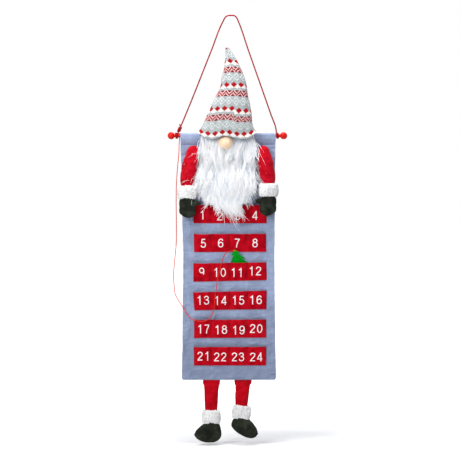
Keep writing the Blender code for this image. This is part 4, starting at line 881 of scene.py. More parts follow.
for row in range(6):
    builder = bmesh.new()
    for pocket, (start, end) in enumerate(zip(SEAM_SHARES, SEAM_SHARES[1:])):
        number = row * 4 + pocket + 1
        shift_x, shift_z = NUMBER_SHIFTS[number - 1]
        middle = Vector((STRIP_LEFT + (STRIP_RIGHT - STRIP_LEFT) * (start + end) / 2 + shift_x, 0,
                         ROW_TOPS[row] - STRIP_HEIGHT / 2 + shift_z))
        lean = Matrix.Rotation(0.03 * noise.noise(Vector((number * 1.7, 0.4, 0))), 4, "Y")
        figures = [int(figure) for figure in str(number)]
        width = (len(figures) - 1) * ADVANCE_SHARE + 0.62
        for place, figure in enumerate(figures):
            left_share = place * ADVANCE_SHARE - width / 2
            for order, stroke in enumerate(STROKES[figure]):
                line = [middle + lean @ (Vector((left_share + x, 0, y - 1 / 2)) * NUMBER_HEIGHT) for x, y in stroke]
                flock_stroke(builder, row, line, 0.00003 * order)
    numbers = put(f"numbers_row_{row + 1}", plain_mesh("numbers", builder, 35))
    numbers.data.materials.append(flock)
    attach(numbers, "hanging")

# The hat: a tall cone of jacquard knit, red and cream on grey, cut from flat cloth, sewn up the back and
# softly stuffed. Its edge is turned under as a brim, and it leans over and narrows to a bent tip.
HAT_X = BANNER_X - 0.0027
HAT_WIDTH = 0.1614
HAT_HEIGHT = 0.2335
HAT_DEPTH = 0.0420
HAT_FOOT = ROD_Z + 0.0055
BRIM_SAG = 0.0190
CASING_FRONT = -(CASING_RADIUS + CLOTH_THICKNESS / 2 + TOUCH_GAP)
WALE = 0.00195
COURSE = 0.00158
# Each row: share of the way across the brim, and of the sag there
SAG_SHARES = ((0, 0.20), (0.04, 0.34), (0.125, 0.82), (0.276, 1.09), (0.364, 0.80), (0.485, 0.66), (0.603, 0.86),
              (0.694, 1.09), (0.873, 0.84), (1, 0.02))
# Each row: share of the way up, then the lean, the width, the depth and how far back the hat lies there
HAT_SHARES = (
    (0, 0, 1.000, 0.86, 0), (0.045, 0.000, 0.930, 0.86, 0.00), (0.127, 0.037, 0.800, 0.95, 0.08),
    (0.220, 0.087, 0.733, 1.00, 0.14), (0.324, 0.129, 0.646, 0.97, 0.15), (0.437, 0.169, 0.530, 0.88, 0.13),
    (0.550, 0.222, 0.433, 0.78, 0.09), (0.644, 0.201, 0.381, 0.68, 0.04), (0.726, 0.189, 0.303, 0.56, -0.02),
    (0.840, 0.132, 0.197, 0.38, -0.10), (0.960, 0.032, 0.084, 0.17, -0.20), (0.992, -0.009, 0.033, 0.07, -0.24),
)


def flowing(table, share):
    """The values of a table at a share, on a smooth curve through its rows."""
    index = 0
    while index < len(table) - 2 and share > table[index + 1][0]:
        index += 1
    start, end = table[index], table[index + 1]
    before = table[max(index - 1, 0)]
    after = table[min(index + 2, len(table) - 1)]
    span = end[0] - start[0]
    part = min(max((share - start[0]) / span, 0), 1)
    values = []
    for column in range(1, len(start)):
        leaving = (end[column] - before[column]) / max(end[0] - before[0], span) * span
        arriving = (after[column] - start[column]) / max(after[0] - start[0], span) * span
        values.append(start[column] * (2 * part ** 3 - 3 * part ** 2 + 1)
                      + end[column] * (3 * part ** 2 - 2 * part ** 3)
                      + leaving * (part ** 3 - 2 * part ** 2 + part) + arriving * (part ** 3 - part ** 2))
    return values


def brim_edge(x):
    """The height of the brim's lower edge, which sags beside the nose and arches over it."""
    share = min(max((x - HAT_X) / HAT_WIDTH + 1 / 2, 0), 1)
    return HAT_FOOT - BRIM_SAG * flowing(SAG_SHARES, share)[0] + BRIM_SAG * 0.20


def powered(value, squareness):
    """A sine or cosine that gives a squarer ring than a circle where squareness is over 2."""
    return math.copysign(abs(value) ** (2 / squareness), value)


# Jacquard knit: each stitch is a pair of slanting legs, about 2 x 1.6 mm, in one of six colours of fuzzy yarn
knit, knit_tree, knit_shader, knit_coords = begin_finish("jacquard_knit_acrylic", "#AEB6B8", 0.9, 0.04)
stitch_uv = add_node(knit_tree, "ShaderNodeUVMap", {"uv_map": "stitches"})
stitch_axes = add_node(knit_tree, "ShaderNodeSeparateXYZ", {}, {0: stitch_uv.outputs[0]})
chart = {"wale": stitch_axes.outputs[0], "course": stitch_axes.outputs[1]}
# The chart of the knit: 10 stitches wide and 40 rows high. Each step is a name, a sum and what goes in.
for label, operation, first, second in (
    ("part", "FRACT", "wale", 0), ("off", "SUBTRACT", "part", 0.5), ("leg", "ABSOLUTE", "off", 0),
    ("level", "ADD", "course", "leg"), ("row", "FLOOR", "level", 0), ("whole", "FLOOR", "wale", 0),
    ("column", "FLOORED_MODULO", "whole", 10), ("shifted", "SUBTRACT", "column", 5),
    ("side", "ABSOLUTE", "shifted", 0),
    ("lifted", "ADD", "row", 8), ("wrapped", "FLOORED_MODULO", "lifted", 40), ("up", "SUBTRACT", "wrapped", 8),
    ("from_diamond", "SUBTRACT", "up", 4), ("diamond_rows", "ABSOLUTE", "from_diamond", 0),
    ("diamond_slope", "MULTIPLY", "diamond_rows", 0.8), ("diamond_sum", "ADD", "diamond_slope", "side"),
    ("diamond", "LESS_THAN", "diamond_sum", 3.9),
    ("hill", "MULTIPLY", "side", 0.8), ("hill_top", "ADD", "hill", 0.5), ("below_hill", "LESS_THAN", "up", "hill_top"),
    ("cup", "MULTIPLY", "side", -0.4), ("cup_low", "SUBTRACT", "cup", 0.8),
    ("above_cup", "GREATER_THAN", "up", "cup_low"), ("cream", "MULTIPLY", "below_hill", "above_cup"),
    ("across", "SUBTRACT", 5, "side"), ("from_lattice", "SUBTRACT", "up", 17),
    ("lattice_rows", "ABSOLUTE", "from_lattice", 0),
    ("lattice_slope", "MULTIPLY", "lattice_rows", 0.8), ("lattice_sum", "ADD", "lattice_slope", "across"),
    ("lattice_heart", "LESS_THAN", "lattice_sum", 1.4), ("past_heart", "GREATER_THAN", "lattice_sum", 4.0),
    ("before_end", "LESS_THAN", "lattice_sum", 5.4), ("thin_line", "MULTIPLY", "past_heart", "before_end"),
    ("near_lattice", "LESS_THAN", "lattice_rows", 7.5), ("thin_zigzag", "MULTIPLY", "thin_line", "near_lattice"),
    ("pale", "MAXIMUM", "lattice_heart", "thin_zigzag"),
    ("zig_level", "FLOORED_MODULO", "row", 40), ("zig_fall", "MULTIPLY", "side", 1.35),
    ("zig_line", "SUBTRACT", 32.9, "zig_fall"),
    ("from_zig", "SUBTRACT", "zig_level", "zig_line"), ("zig_off", "ABSOLUTE", "from_zig", 0),
    ("from_band", "SUBTRACT", "zig_level", 29.5), ("band_off", "ABSOLUTE", "from_band", 0),
    ("band", "LESS_THAN", "band_off", 5.2), ("pink_near", "LESS_THAN", "zig_off", 3.9),
    ("pink", "MULTIPLY", "band", "pink_near"),
    ("red_near", "LESS_THAN", "zig_off", 1.7), ("zigzag", "MULTIPLY", "band", "red_near"),
    ("from_leg", "SUBTRACT", "leg", 0.25), ("leg_off", "ABSOLUTE", "from_leg", 0),
    ("leg_wide", "MULTIPLY", "leg_off", 4),
    ("leg_round", "SUBTRACT", 1, "leg_wide"), ("rise", "FRACT", "level", 0), ("rise_off", "SUBTRACT", "rise", 0.5),
    ("rise_wide", "ABSOLUTE", "rise_off", 0), ("rise_round", "SUBTRACT", 1, "rise_wide"),
    ("relief", "MULTIPLY", "leg_round", "rise_round"),
):
    given = {place: value for place, value in enumerate((first, second)) if not isinstance(value, str)}
    joined = {place: chart[value] for place, value in enumerate((first, second)) if isinstance(value, str)}
    chart[label] = add_node(knit_tree, "ShaderNodeMath", {"operation": operation, **given}, joined).outputs[0]
yarn, _ = mottled(knit_tree, knit_coords, 260, ("#A0A9AB", "#B1B9BA", "#C2C8C8"), detail=3)
for mask, tone in (("pale", "#EBEFED"), ("band", "#721B27"), ("pink", "#F6CDCA"), ("zigzag", "#900614"),
                   ("cream", "#F6F0EA"), ("diamond", "#B00F1C")):
    yarn = add_node(knit_tree, "ShaderNodeMix", {"data_type": "RGBA", 7: linear(tone)},
                    {0: chart[mask], 6: yarn}).outputs[2]
halo, _ = mottled(knit_tree, knit_coords, 700, ("#DADADA", "#FFFFFF"), detail=2)
knitted = add_node(knit_tree, "ShaderNodeMix", {"data_type": "RGBA", "blend_type": "MULTIPLY", 0: 0.8},
                   {6: yarn, 7: halo})
knit_tree.links.new(knitted.outputs[2], knit_shader.inputs["Base Color"])
relief(knit_tree, knit_shader, chart["relief"], 0.0006, 0.7)

HAT_SIDES = 128
hat_builder = bmesh.new()
stitch_layer = hat_builder.loops.layers.uv.new("stitches")
hat_rings = []
hat_stitches = []
for level in range(-5, 131):
    up = max(level, 0) / 130 * 0.992
    lean, width, depth, back = flowing(HAT_SHARES, up)
    centre = HAT_X + HAT_WIDTH / 2 * lean
    square = 3 - 0.7 * eased(up / 0.06)
    ring = []
    for side in range(HAT_SIDES + 1):
        angle = TURN * (side / HAT_SIDES - 0.5)
        x = HAT_WIDTH / 2 * width * powered(math.sin(angle), square)
        rear = CASING_FRONT + HAT_DEPTH * back
        y = rear - HAT_DEPTH * depth * (powered(math.cos(angle), square) + 1) / 2
        z = HAT_FOOT + HAT_HEIGHT * up
        z += (brim_edge(centre + x) - HAT_FOOT) * (1 - eased(up / 0.14))
        if level < 0:
            x *= 1 - 0.012 * level ** 2 / 4
            y = rear - (rear - y) * (1 + 0.02 * level) - 0.0006 * level
            z += -0.0012 * math.sin(-level * 0.6) + 0.0011 * (-level)
        dimple = noise.noise(Vector((x * 22, up * 7, 4.4 + math.copysign(1, y - rear + 0.01)))) * 0.0022
        crease = 0.0018 * math.exp(-(((x - 0.014 + 0.02 * up) / 0.003) ** 2)) * math.exp(-(((up - 0.24) / 0.12) ** 2))
        push = (dimple * eased(up / 0.05) - crease) * (math.cos(angle) > 0) * width
        x *= 1 + (noise.noise(Vector((up * 9, math.copysign(3, x), 8.1))) * 0.02)
        ring.append(Vector((centre + x, y - push, z)))
    middle = HAT_SIDES // 2
    reach = [0.0] * (HAT_SIDES + 1)
    for side in range(middle, HAT_SIDES):
        reach[side + 1] = reach[side] + (ring[side + 1] - ring[side]).xy.length
    for side in range(middle, 0, -1):
        reach[side - 1] = reach[side] - (ring[side] - ring[side - 1]).xy.length
    stitches_here = []
    for side, along in enumerate(reach):
        wale = 5.5 + (along - 0.0076 + 0.0124 * up) / WALE
        place = ring[side]
        foot_line = HAT_FOOT + (0.0074 + 0.7 * (brim_edge(place.x) - HAT_FOOT)) * (1 - eased(up / 0.35))
        arch = 0.004 * up * (1 - min(abs(place.x - centre) / (HAT_WIDTH / 2 * width), 1) ** 2)
        height = brim_edge(place.x) + 0.0042 * level if level < 0 else place.z
        course = (height - foot_line - arch) / COURSE + 3.4
        step = eased((along - 0.0125 + 0.004 * up) / 0.002) * math.exp(-(((up - 0.24) / 0.13) ** 2)) * (along < 0.09)
        stitches_here.append((wale, course + 3.2 * step))
    hat_rings.append([hat_builder.verts.new(point) for point in ring[:-1]])
    hat_stitches.append(stitches_here)
for lower, upper, low_uv, high_uv in zip(hat_rings, hat_rings[1:], hat_stitches, hat_stitches[1:]):
    for side in range(HAT_SIDES):
        after = (side + 1) % HAT_SIDES
        face = hat_builder.faces.new((lower[side], lower[after], upper[after], upper[side]))
        for loop, place in zip(face.loops, (low_uv[side], low_uv[side + 1], high_uv[side + 1], high_uv[side])):
            loop[stitch_layer].uv = place
tip_face = hat_builder.faces.new(hat_rings[-1])
foot_face = hat_builder.faces.new(hat_rings[0][::-1])
for face, place in ((tip_face, hat_stitches[-1][0]), (foot_face, hat_stitches[0][0])):
    for loop in face.loops:
        loop[stitch_layer].uv = place
bmesh.ops.triangulate(hat_builder, faces=[tip_face, foot_face])
hat = put("knitted_hat", plain_mesh("knitted_hat", hat_builder, 80))
hat.data.materials.append(knit)
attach(hat, "hanging")
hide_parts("hat")

# The stuffed pieces: sewn cloth over polyester filling. Each is a copy of its solid, remeshed evenly and blown
# up a little, with the cloth cut slightly too large so that it wrinkles, and then smoothed.


def solid_copy(name, node):
    """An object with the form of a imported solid, whose faces share their corners."""
    builder = bmesh.new()
    builder.from_mesh(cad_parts[node].data)
    bmesh.ops.remove_doubles(builder, verts=builder.verts, dist=0.00001)
    mesh = bpy.data.meshes.new(name)
    builder.to_mesh(mesh)
    builder.free()
    return put(name, mesh)


def fit_between(piece, low, high):
    """Stretches a piece to the box given, because smoothing draws it in."""
    corners = [corner.co for corner in piece.data.vertices]
    for axis in range(3):
        least = min(place[axis] for place in corners)
        most = max(place[axis] for place in corners)
        for place in corners:
            place[axis] = low[axis] + (place[axis] - least) * (high[axis] - low[axis]) / (most - least)


def stuffed(name, node, body, finish, voxel=0.0025, loose=0.04, pressure=3.0, cap=0.0022,
            ease=4, fuller=None, turn=0.0):
    """A stuffed piece in the place of a solid: its shape, with the soft wrinkles of a filled cloth.

    fuller gives a factor on its width at each share of the way down, and turn is a lean in radians. A piece with
    no body is left unattached.
    """
    piece = solid_copy(name, node)
    even = piece.modifiers.new("even", "REMESH")
    even.mode = "VOXEL"
    even.voxel_size = voxel
    slack = piece.modifiers.new("slack", "SMOOTH")
    slack.iterations = ease
    slack.factor = 0.5
    settle(piece)
    box_low, box_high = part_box(node)
    middle = (box_low + box_high) / 2
    if fuller:
        for corner in piece.data.vertices:
            down = (box_high.z - corner.co.z) / (box_high.z - box_low.z)
            corner.co.x = middle.x + (corner.co.x - middle.x) * fuller(down)
    fit_between(piece, box_low, box_high)
    if turn:
        leaned = Matrix.Translation(middle) @ Matrix.Rotation(turn, 4, "Y") @ Matrix.Translation(-middle)
        piece.data.transform(leaned)
    rest = [corner.co.copy() for corner in piece.data.vertices]
    filled = piece.modifiers.new("filled", "CLOTH")
    filled.settings.use_pressure = True
    filled.settings.uniform_pressure_force = pressure
    filled.settings.shrink_min = -loose
    filled.settings.quality = 5
    filled.settings.tension_stiffness = 20
    filled.settings.bending_stiffness = 0.3
    filled.settings.effector_weights.gravity = 0
    filled.point_cache.frame_start = 1
    filled.point_cache.frame_end = 20
    for step in range(1, 21):
        bpy.context.scene.frame_set(step)
    settle(piece)
    for corner, start in zip(piece.data.vertices, rest):
        shift = corner.co - start
        if shift.length > cap:
            corner.co = start + shift.normalized() * cap
    bpy.context.scene.frame_set(1)
    soften = piece.modifiers.new("soften", "SUBSURF")
    soften.levels = 1
    soften.render_levels = 1
    settle(piece)
    piece.data.materials.append(finish)
    piece.data.shade_smooth()
    if body:
        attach(piece, body)
    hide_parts(node)
    return piece


# The nose: a ball of peach-coloured jersey, gathered over a tight filling and sewn on under the brim. The jersey
# is matt, softly blushed, with ribs so fine that they only break up the light.
jersey, jersey_tree, jersey_shader, jersey_coords = begin_finish("brushed_cotton_jersey", "#F9DAB7", 0.8, 0.1)
blush, _ = mottled(jersey_tree, jersey_coords, 60, ("#F5D2AD", "#FBE0C2"), detail=2)
jersey_tree.links.new(blush, jersey_shader.inputs["Base Color"])
ribs = add_node(jersey_tree, "ShaderNodeTexWave", {"bands_direction": "X", "Scale": 330, "Distortion": 0.8},
                {"Vector": jersey_coords})
relief(jersey_tree, jersey_shader, ribs.outputs[1], 0.0003, 0.3)
stuffed("jersey_nose", "nose", "hanging", jersey, voxel=0.002, loose=0.0, pressure=2, cap=0.0008)

# The beard: long white faux fur, a knitted backing with a pile of straight and wavy fibres up to 70 mm long.
# The backing is softly stuffed, its top is sewn down under the brim, and the rest lifts. Each modelled
# strand stands for a lock of fibres, because a single one is too fine to show.
# Knitted backing: white, and only a little of it shows between the strands
backing, backing_tree, backing_shader, backing_coords = begin_finish("faux_fur_backing", "#F4F7FA", 0.9, 0.1)
under_colour, under_fibres = mottled(backing_tree, backing_coords, 300, ("#E2E9F0", "#FCFDFE"), detail=3,
                                     stretch=(1, 1, 0.15))
backing_tree.links.new(under_colour, backing_shader.inputs["Base Color"])
relief(backing_tree, backing_shader, under_fibres, 0.0012, 0.8)
# Acrylic pile: cool white, greyer in some locks and strands at random, and painted darker at the roots as the
# shade deep in the pile. The faint glow stands for the light that white fibres pass on to one another.
fur, fur_tree, fur_shader, _ = begin_finish("faux_fur_pile_white", "#F8FAFC", 0.6, 0.25)
fur_shader.inputs["Emission Strength"].default_value = 0.085
strand_tint = add_node(fur_tree, "ShaderNodeAttribute", {"attribute_name": "strand_tint"})
strand_share = add_node(fur_tree, "ShaderNodeAttribute", {"attribute_name": "strand_share"})
tint_ramp = add_node(fur_tree, "ShaderNodeValToRGB", {}, {0: strand_tint.outputs["Fac"]})
tint_ramp.color_ramp.elements[0].color = linear("#BCCAD9")
tint_ramp.color_ramp.elements[1].color = linear("#FFFFFF")
tint_ramp.color_ramp.elements[1].position = 0.46
# Painted shade: each strand is drawn greyer towards its root, as the shade deep in the pile
root_shade = add_node(fur_tree, "ShaderNodeValToRGB", {}, {0: strand_share.outputs["Fac"]})
root_shade.color_ramp.elements[0].color = linear("#D6E0EA")
root_shade.color_ramp.elements[1].color = linear("#FFFFFF")
root_shade.color_ramp.elements[1].position = 0.35
fur_colour = add_node(fur_tree, "ShaderNodeMix", {"data_type": "RGBA", "blend_type": "MULTIPLY", 0: 1.0},
                      {6: tint_ramp.outputs[0], 7: root_shade.outputs[0]})
fur_tree.links.new(fur_colour.outputs[2], fur_shader.inputs["Base Color"])
fur_tree.links.new(fur_colour.outputs[2], fur_shader.inputs["Emission Color"])

beard_root = stuffed("beard_sewn_part", "beard_top", "hanging", backing, loose=0.02, cap=0.0012)
beard_body = stuffed("beard_backing", "beard_flap", None, backing, loose=0.02, cap=0.0015)
# The backing is drawn up and in below this height, so that the pile's lowest tips hang past it
BACKING_FOOT = -0.495
for corner in beard_body.data.vertices:
    past = max(BACKING_FOOT - corner.co.z, 0)
    corner.co.z += past * 0.58
    corner.co.x = BANNER_X + (corner.co.x - BANNER_X) * (1 - 0.38 * eased(past / 0.05))
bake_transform(beard_body)

# The pile: strands from points on the backing, each combed its own way, lifted, clumped and waved to its tip
KEEP, KEPT = "GeometryNodeStoreNamedAttribute", "GeometryNodeInputNamedAttribute"
SUM, VECTORS, RANDOM = "ShaderNodeMath", "ShaderNodeVectorMath", "FunctionNodeRandomValue"
VECTOR_KEPT = {"data_type": "FLOAT_VECTOR", "domain": "POINT"}
FLOAT_KEPT = {"data_type": "FLOAT", "domain": "POINT"}
pile_tree = geometry_tree("long_fur_pile", (
    ("Count Per Area", "Float"), ("Shortest", "Float"), ("Longest", "Float"), ("Thickness", "Float"),
    ("Lift", "Float"), ("Wave", "Float"), ("Clump", "Float"), ("Clump Size", "Float"), ("Seed", "Int"),
    ("Material", "Material"),
), (
    ("roots", "GeometryNodeDistributePointsOnFaces", {},
     {"Mesh": "in.Geometry", "Density": "in.Count Per Area", "Seed": "in.Seed"}),
    ("here", "GeometryNodeInputPosition", {}, {}),
    ("keep_normal", KEEP, {**VECTOR_KEPT, "Name": "root_normal"},
     {"Geometry": "roots.Points", "Value": "roots.Normal"}),
    ("keep_place", KEEP, {**VECTOR_KEPT, "Name": "root_place"}, {"Geometry": "keep_normal", "Value": "here"}),
    ("any_tint", RANDOM, {"data_type": "FLOAT"}, {"Seed": "in.Seed"}),
    ("locks", "ShaderNodeTexVoronoi", {"Scale": 240, "Randomness": 1}, {"Vector": "here"}),
    ("lock_axes", "ShaderNodeSeparateXYZ", {}, {0: "locks.Color"}),
    ("tint", "ShaderNodeMix", {"data_type": "FLOAT", 0: 0.5}, {2: "lock_axes", 3: "any_tint.1"}),
    ("keep_tint", KEEP, {**FLOAT_KEPT, "Name": "strand_tint"}, {"Geometry": "keep_place", "Value": "tint"}),
    ("other_seed", SUM, {"operation": "ADD", 1: 17}, {0: "in.Seed"}),
    ("any_length", RANDOM, {"data_type": "FLOAT"}, {2: "in.Shortest", 3: "in.Longest", "Seed": "other_seed"}),
    ("room", KEPT, {"data_type": "FLOAT", "Name": "pile_room"}, {}),
    ("room_share", RANDOM, {"data_type": "FLOAT", 2: 0.42, 3: 1.15}, {"Seed": "in.Seed"}),
    ("own_room", SUM, {"operation": "MULTIPLY"}, {0: "room", 1: "room_share.1"}),
    ("length", SUM, {"operation": "MINIMUM"}, {0: "any_length.1", 1: "own_room"}),
    ("keep_length", KEEP, {**FLOAT_KEPT, "Name": "strand_length"}, {"Geometry": "keep_tint", "Value": "length"}),
    ("line", "GeometryNodeCurvePrimitiveLine", {"End": (0, 0, -1)}, {}),
    ("points", "GeometryNodeResampleCurve", {"Count": 8}, {"Curve": "line"}),
    ("copies", "GeometryNodeInstanceOnPoints", {}, {"Points": "keep_length", "Instance": "points"}),
    ("strands", "GeometryNodeRealizeInstances", {}, {0: "copies"}),
    ("share", "GeometryNodeSplineParameter", {}, {}),
    ("keep_share", KEEP, {**FLOAT_KEPT, "Name": "strand_share"}, {"Geometry": "strands", "Value": "share.Factor"}),
    ("normal", KEPT, {"data_type": "FLOAT_VECTOR", "Name": "root_normal"}, {}),
    ("place", KEPT, {"data_type": "FLOAT_VECTOR", "Name": "root_place"}, {}),
    ("way", KEPT, {"data_type": "FLOAT_VECTOR", "Name": "pile_way"}, {}),
    ("own_length", KEPT, {"data_type": "FLOAT", "Name": "strand_length"}, {}),
    ("along", SUM, {"operation": "MULTIPLY"}, {0: "share.Factor", 1: "own_length"}),
    ("run", VECTORS, {"operation": "SCALE"}, {0: "way", "Scale": "along"}),
    ("run_place", VECTORS, {"operation": "ADD"}, {0: "place", 1: "run"}),
    ("lift_curve", SUM, {"operation": "POWER", 1: 0.6}, {0: "share.Factor"}),
    ("lift_size", SUM, {"operation": "MULTIPLY"}, {0: "lift_curve", 1: "in.Lift"}),
    ("lifted", VECTORS, {"operation": "SCALE"}, {0: "normal", "Scale": "lift_size"}),
    ("cells", "ShaderNodeTexVoronoi", {"Randomness": 1}, {"Vector": "place", "Scale": "in.Clump Size"}),
    ("to_clump", VECTORS, {"operation": "SUBTRACT"}, {0: "cells.Position", 1: "place"}),
    ("clump_share", SUM, {"operation": "MULTIPLY"}, {0: "share.Factor", 1: "in.Clump"}),
    ("clumped", VECTORS, {"operation": "SCALE"}, {0: "to_clump", "Scale": "clump_share"}),
    ("part_here", VECTORS, {"operation": "SCALE", "Scale": 0.35}, {0: "run_place"}),
    ("wave_place", VECTORS, {"operation": "ADD"}, {0: "part_here", 1: "cells.Position"}),
    ("waves", "ShaderNodeTexNoise", {"Scale": 45, "Detail": 1}, {"Vector": "wave_place"}),
    ("both_ways", VECTORS, {"operation": "SUBTRACT", 1: (0.5, 0.5, 0.5)}, {0: "waves.Color"}),
    ("wave_size", SUM, {"operation": "MULTIPLY"}, {0: "share.Factor", 1: "in.Wave"}),
    ("flat_wave", VECTORS, {"operation": "MULTIPLY", 1: (1.3, 0.25, 0.8)}, {0: "both_ways"}),
    ("waved", VECTORS, {"operation": "SCALE"}, {0: "flat_wave", "Scale": "wave_size"}),
    ("shift", VECTORS, {"operation": "ADD"}, {0: "lifted", 1: "clumped"}),
    ("whole_shift", VECTORS, {"operation": "ADD"}, {0: "shift", 1: "waved"}),
    ("bent", "GeometryNodeSetPosition", {},
     {"Geometry": "keep_share", "Position": "run_place", "Offset": "whole_shift"}),
    ("left_over", SUM, {"operation": "SUBTRACT", 0: 1.04}, {1: "share.Factor"}),
    ("taper", SUM, {"operation": "POWER", 1: 0.55}, {0: "left_over"}),
    ("thickness", SUM, {"operation": "MULTIPLY"}, {0: "taper", 1: "in.Thickness"}),
    ("section", "GeometryNodeCurvePrimitiveCircle", {"Resolution": 3, "Radius": 0.5}, {}),
    ("mesh", "GeometryNodeCurveToMesh", {"Fill Caps": True},
     {"Curve": "bent", "Profile Curve": "section", "Scale": "thickness"}),
    ("smooth", "GeometryNodeSetShadeSmooth", {}, {0: "mesh"}),
))


BEARD_X = BANNER_X - 0.0009
BEARD_TIP_X = 0.0035
# How low the fur reaches at each place across
FUR_REACH = ((-0.110, -0.440), (-0.099, -0.464), (-0.080, -0.484), (-0.060, -0.504), (-0.020, -0.530),
             (0.0025, -0.546), (0.013, -0.531), (0.032, -0.503), (0.052, -0.481), (0.0775, -0.460), (0.090, -0.436))


def fur_base(name, sources, keep, outward):
    """A surface for the pile to grow on: faces of the backing, with the way the pile lies and its room below."""
    builder = bmesh.new()
    for source in sources:
        builder.from_mesh(source.data)
    unwanted = [face for face in builder.faces if not keep(face.calc_center_median(), face.normal)]
    bmesh.ops.delete(builder, geom=unwanted, context="FACES")
    mesh = bpy.data.meshes.new(name)
    builder.to_mesh(mesh)
    builder.free()
    ways = []
    rooms = []
    for corner in mesh.vertices:
        x, y, z = corner.co
        off = (x - BEARD_X) / 0.073
        spread = (0.40 + outward) * off * (1 - eased((-0.39 - z) / 0.10)) + outward * off * 0.6
        if off > 0:
            spread = spread * 0.45 - 0.22 * off * (1 - eased((-0.385 - z) / 0.04))
        gather = 0.52 * (x - BEARD_TIP_X) / 0.06 * eased((-0.44 - z) / 0.07)
        drift = 0.90 * noise.noise(Vector((x * 26, 1.3, z * 15))) + 0.60 * noise.noise(Vector((x * 70, 5.3, z * 40)))
        forwards = 0.20 * eased((z + 0.47) / 0.05) - 0.12 * eased((-0.49 - z) / 0.04)
        sideways = spread - gather + drift
        if off > 0.6 and not outward:
            sideways = min(sideways, 0.35 * (1 - off))
        ways.extend(Vector((sideways, -forwards, -1)).normalized())
        below = max(z - between(FUR_REACH, x)[0], 0)
        rooms.append(below * 1.05 + 0.018 if outward else below * 0.96 + 0.004)
    mesh.attributes.new("pile_way", "FLOAT_VECTOR", "POINT").data.foreach_set("vector", ways)
    mesh.attributes.new("pile_room", "FLOAT", "POINT").data.foreach_set("value", rooms)
    return put(name, mesh)


def pile(name, keep, outward=0.0, **values):
    """A layer of fur on the beard, grown on the sewn part above its seam and the free part below."""
    piece = made_by(pile_tree, fur_base(name, (beard_root, beard_body), keep, outward), {**values, "Material": fur})
    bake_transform(piece)


pile("fur_underlayer", lambda place, way: way.y < 0.45 and not (place.x > 0.055 and way.x > 0.7), **{
    "Count Per Area": 80000.0, "Shortest": 0.020, "Longest": 0.038, "Thickness": 0.0022, "Lift": 0.004,
    "Wave": 0.016, "Clump": 0.35, "Clump Size": 180.0, "Seed": 3})
pile("fur_middle", lambda place, way: way.y < 0.2 and place.z > -0.525 and not (place.x > 0.055 and way.x > 0.5), **{
    "Count Per Area": 80000.0, "Shortest": 0.032, "Longest": 0.055, "Thickness": 0.0018, "Lift": 0.007,
    "Wave": 0.034, "Clump": 0.6, "Clump Size": 140.0, "Seed": 11})
pile("fur_top_layer", lambda place, way: way.y < -0.1 and place.z > -0.51, **{
    "Count Per Area": 55000.0, "Shortest": 0.038, "Longest": 0.068, "Thickness": 0.0017, "Lift": 0.007,
    "Wave": 0.046, "Clump": 0.75, "Clump Size": 130.0, "Seed": 23})
pile("fur_wisps", lambda place, way: (abs(way.x) > 0.45 and way.y < 0.5 or place.z < -0.49) and place.z < -0.334,
     outward=0.35, **{
    "Count Per Area": 42000.0, "Shortest": 0.035, "Longest": 0.070, "Thickness": 0.0012, "Lift": 0.012,
    "Wave": 0.085, "Clump": 0.6, "Clump Size": 60.0, "Seed": 41})

# The arms: sleeves of red polar fleece, pinched flat and sewn on at the shoulder, stuffed, with a wide cuff
# of white sherpa and a mitten of black brushed felt, sewn together at the wrist.


def fleece_finish(name, colours, nap, depth, sheen):
    """Brushed polyester: a short nap in tufts of about the given size, soft and without gloss."""
    material, tree, shader, coords = begin_finish(name, colours[0], 0.95, sheen, 0.03)
    cloud, _ = mottled(tree, coords, 55, colours, detail=3)
    nap_colour, tufts = mottled(tree, coords, 1 / nap, ("#C8C8C8", "#FFFFFF"), detail=3)
    mixed = add_node(tree, "ShaderNodeMix", {"data_type": "RGBA", "blend_type": "MULTIPLY", 0: 0.75},
                     {6: cloud, 7: nap_colour})
    tree.links.new(mixed.outputs[2], shader.inputs["Base Color"])
    relief(tree, shader, tufts, depth, 0.7)
    return material


red_fleece = fleece_finish("polar_fleece_red", ("#B4041A", "#C40A20", "#D2162E"), 0.0035, 0.0010, 0.06)
black_felt = fleece_finish("brushed_felt_black", ("#1E211A", "#282C24", "#363B31"), 0.0025, 0.0009, 0.03)
sherpa_cloth = fleece_finish("sherpa_fleece_white", ("#F0F1EF", "#F8F8F7", "#FFFFFF"), 0.0030, 0.0012, 0.1)
tuft_tree = geometry_tree("sherpa_tufts", (
    ("Count Per Area", "Float"), ("Smallest", "Float"), ("Largest", "Float"), ("Seed", "Int"),
    ("Material", "Material"),
), (
    ("places", "GeometryNodeDistributePointsOnFaces", {"distribute_method": "POISSON", "Distance Min": 0.0013},
     {"Mesh": "in.Geometry", "Density Max": "in.Count Per Area", "Seed": "in.Seed"}),
    ("ball", "GeometryNodeMeshIcoSphere", {"Radius": 0.5, "Subdivisions": 1}, {}),
    ("here", "GeometryNodeInputPosition", {}, {}),
    ("noise", "ShaderNodeTexNoise", {"Scale": 2.6, "Detail": 1}, {"Vector": "here"}),
    ("both_ways", VECTORS, {"operation": "SUBTRACT", 1: (0.5, 0.5, 0.5)}, {0: "noise.Color"}),
    ("curled", "GeometryNodeSetPosition", {}, {"Geometry": "ball", "Offset": "both_ways"}),
    ("turn", RANDOM, {"data_type": "FLOAT_VECTOR", 1: (TURN, TURN, TURN)}, {"Seed": "in.Seed"}),
    ("size", RANDOM, {"data_type": "FLOAT"}, {2: "in.Smallest", 3: "in.Largest", "Seed": "in.Seed"}),
    ("copies", "GeometryNodeInstanceOnPoints", {},
     {"Points": "places.Points", "Instance": "curled", "Rotation": "turn", "Scale": "size.1"}),
    ("tufts", "GeometryNodeRealizeInstances", {}, {0: "copies"}),
    ("smooth", "GeometryNodeSetShadeSmooth", {}, {0: "tufts"}),
))


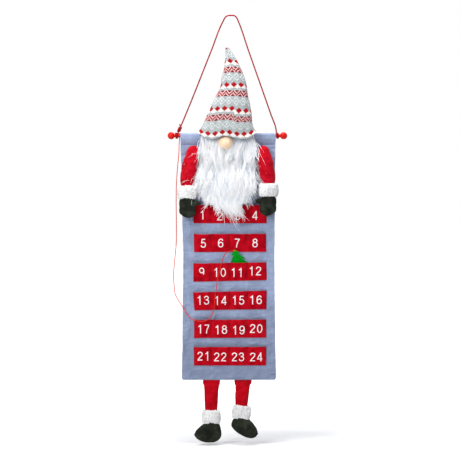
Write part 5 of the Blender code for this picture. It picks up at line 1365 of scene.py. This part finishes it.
def sherpa_cuff(name, node, body, seed, turn=0.0):
    """A cuff of sherpa: a padded ring of cloth covered in small curled tufts of pile."""
    cuff = stuffed(name, node, body, sherpa_cloth, loose=0.02, cap=0.0012, turn=turn)
    tufts = made_by(tuft_tree, put(f"{name}_tufts", cuff.data.copy()), {
        "Count Per Area": 90000.0, "Smallest": 0.0020, "Largest": 0.0042, "Seed": seed, "Material": sherpa_cloth})
    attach(tufts, body)


for seed, side in enumerate(("left", "right")):
    arm = f"{side}_arm"
    stuffed(f"{side}_fleece_sleeve", f"{side}_sleeve", arm, red_fleece, loose=0.06, cap=0.0035, ease=22)
    stuffed(f"{side}_felt_mitten", f"{side}_mitten", arm, black_felt, voxel=0.002, loose=0.03, cap=0.0018,
            fuller=lambda down: 1 + 0.26 * eased((down - 0.45) / 0.4))
    sherpa_cuff(f"{side}_wrist_cuff", f"{side}_arm_cuff", arm, seed + 5)

# The legs: tubes of red felt, pinched and sewn into the banner's foot, stuffed, with a sherpa cuff and a
# boot of black brushed felt whose toe points outwards.
leg_felt = felt_finish("pressed_felt_leg", ("#A60011", "#B40315", "#C2081C"))
for seed, side in enumerate(("left", "right")):
    leg = f"{side}_leg"
    lean = 0.11 * seed
    stuffed(f"{side}_felt_leg", f"{side}_leg", leg, leg_felt, loose=0.04, cap=0.0022,
            fuller=lambda down: 1 + 0.16 * eased(down / 0.16) * (1 - eased((down - 0.18) / 0.7)))
    stuffed(f"{side}_felt_boot", f"{side}_boot", leg, black_felt, loose=0.03, cap=0.0020, turn=lean / 2)
    sherpa_cuff(f"{side}_boot_cuff", f"{side}_leg_cuff", leg, seed + 9, lean)

# The day marker: a tree die-cut from stiff green felt, which stands in a pocket and leans out of it. Its cut edge
# is slightly soft, and it hangs on its cord when it is lifted out.
green_felt = felt_finish("stiffened_felt_green", ("#019218", "#029F20", "#08AC2A"))
felt_tree = solid_copy("felt_tree", "tree_marker")
tree_edge = felt_tree.modifiers.new("edge", "BEVEL")
tree_edge.width = 0.0004
tree_edge.segments = 2
tree_edge.limit_method = "ANGLE"
settle(felt_tree)
felt_tree.data.materials.append(green_felt)
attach(felt_tree, "marker")
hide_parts("tree_marker")
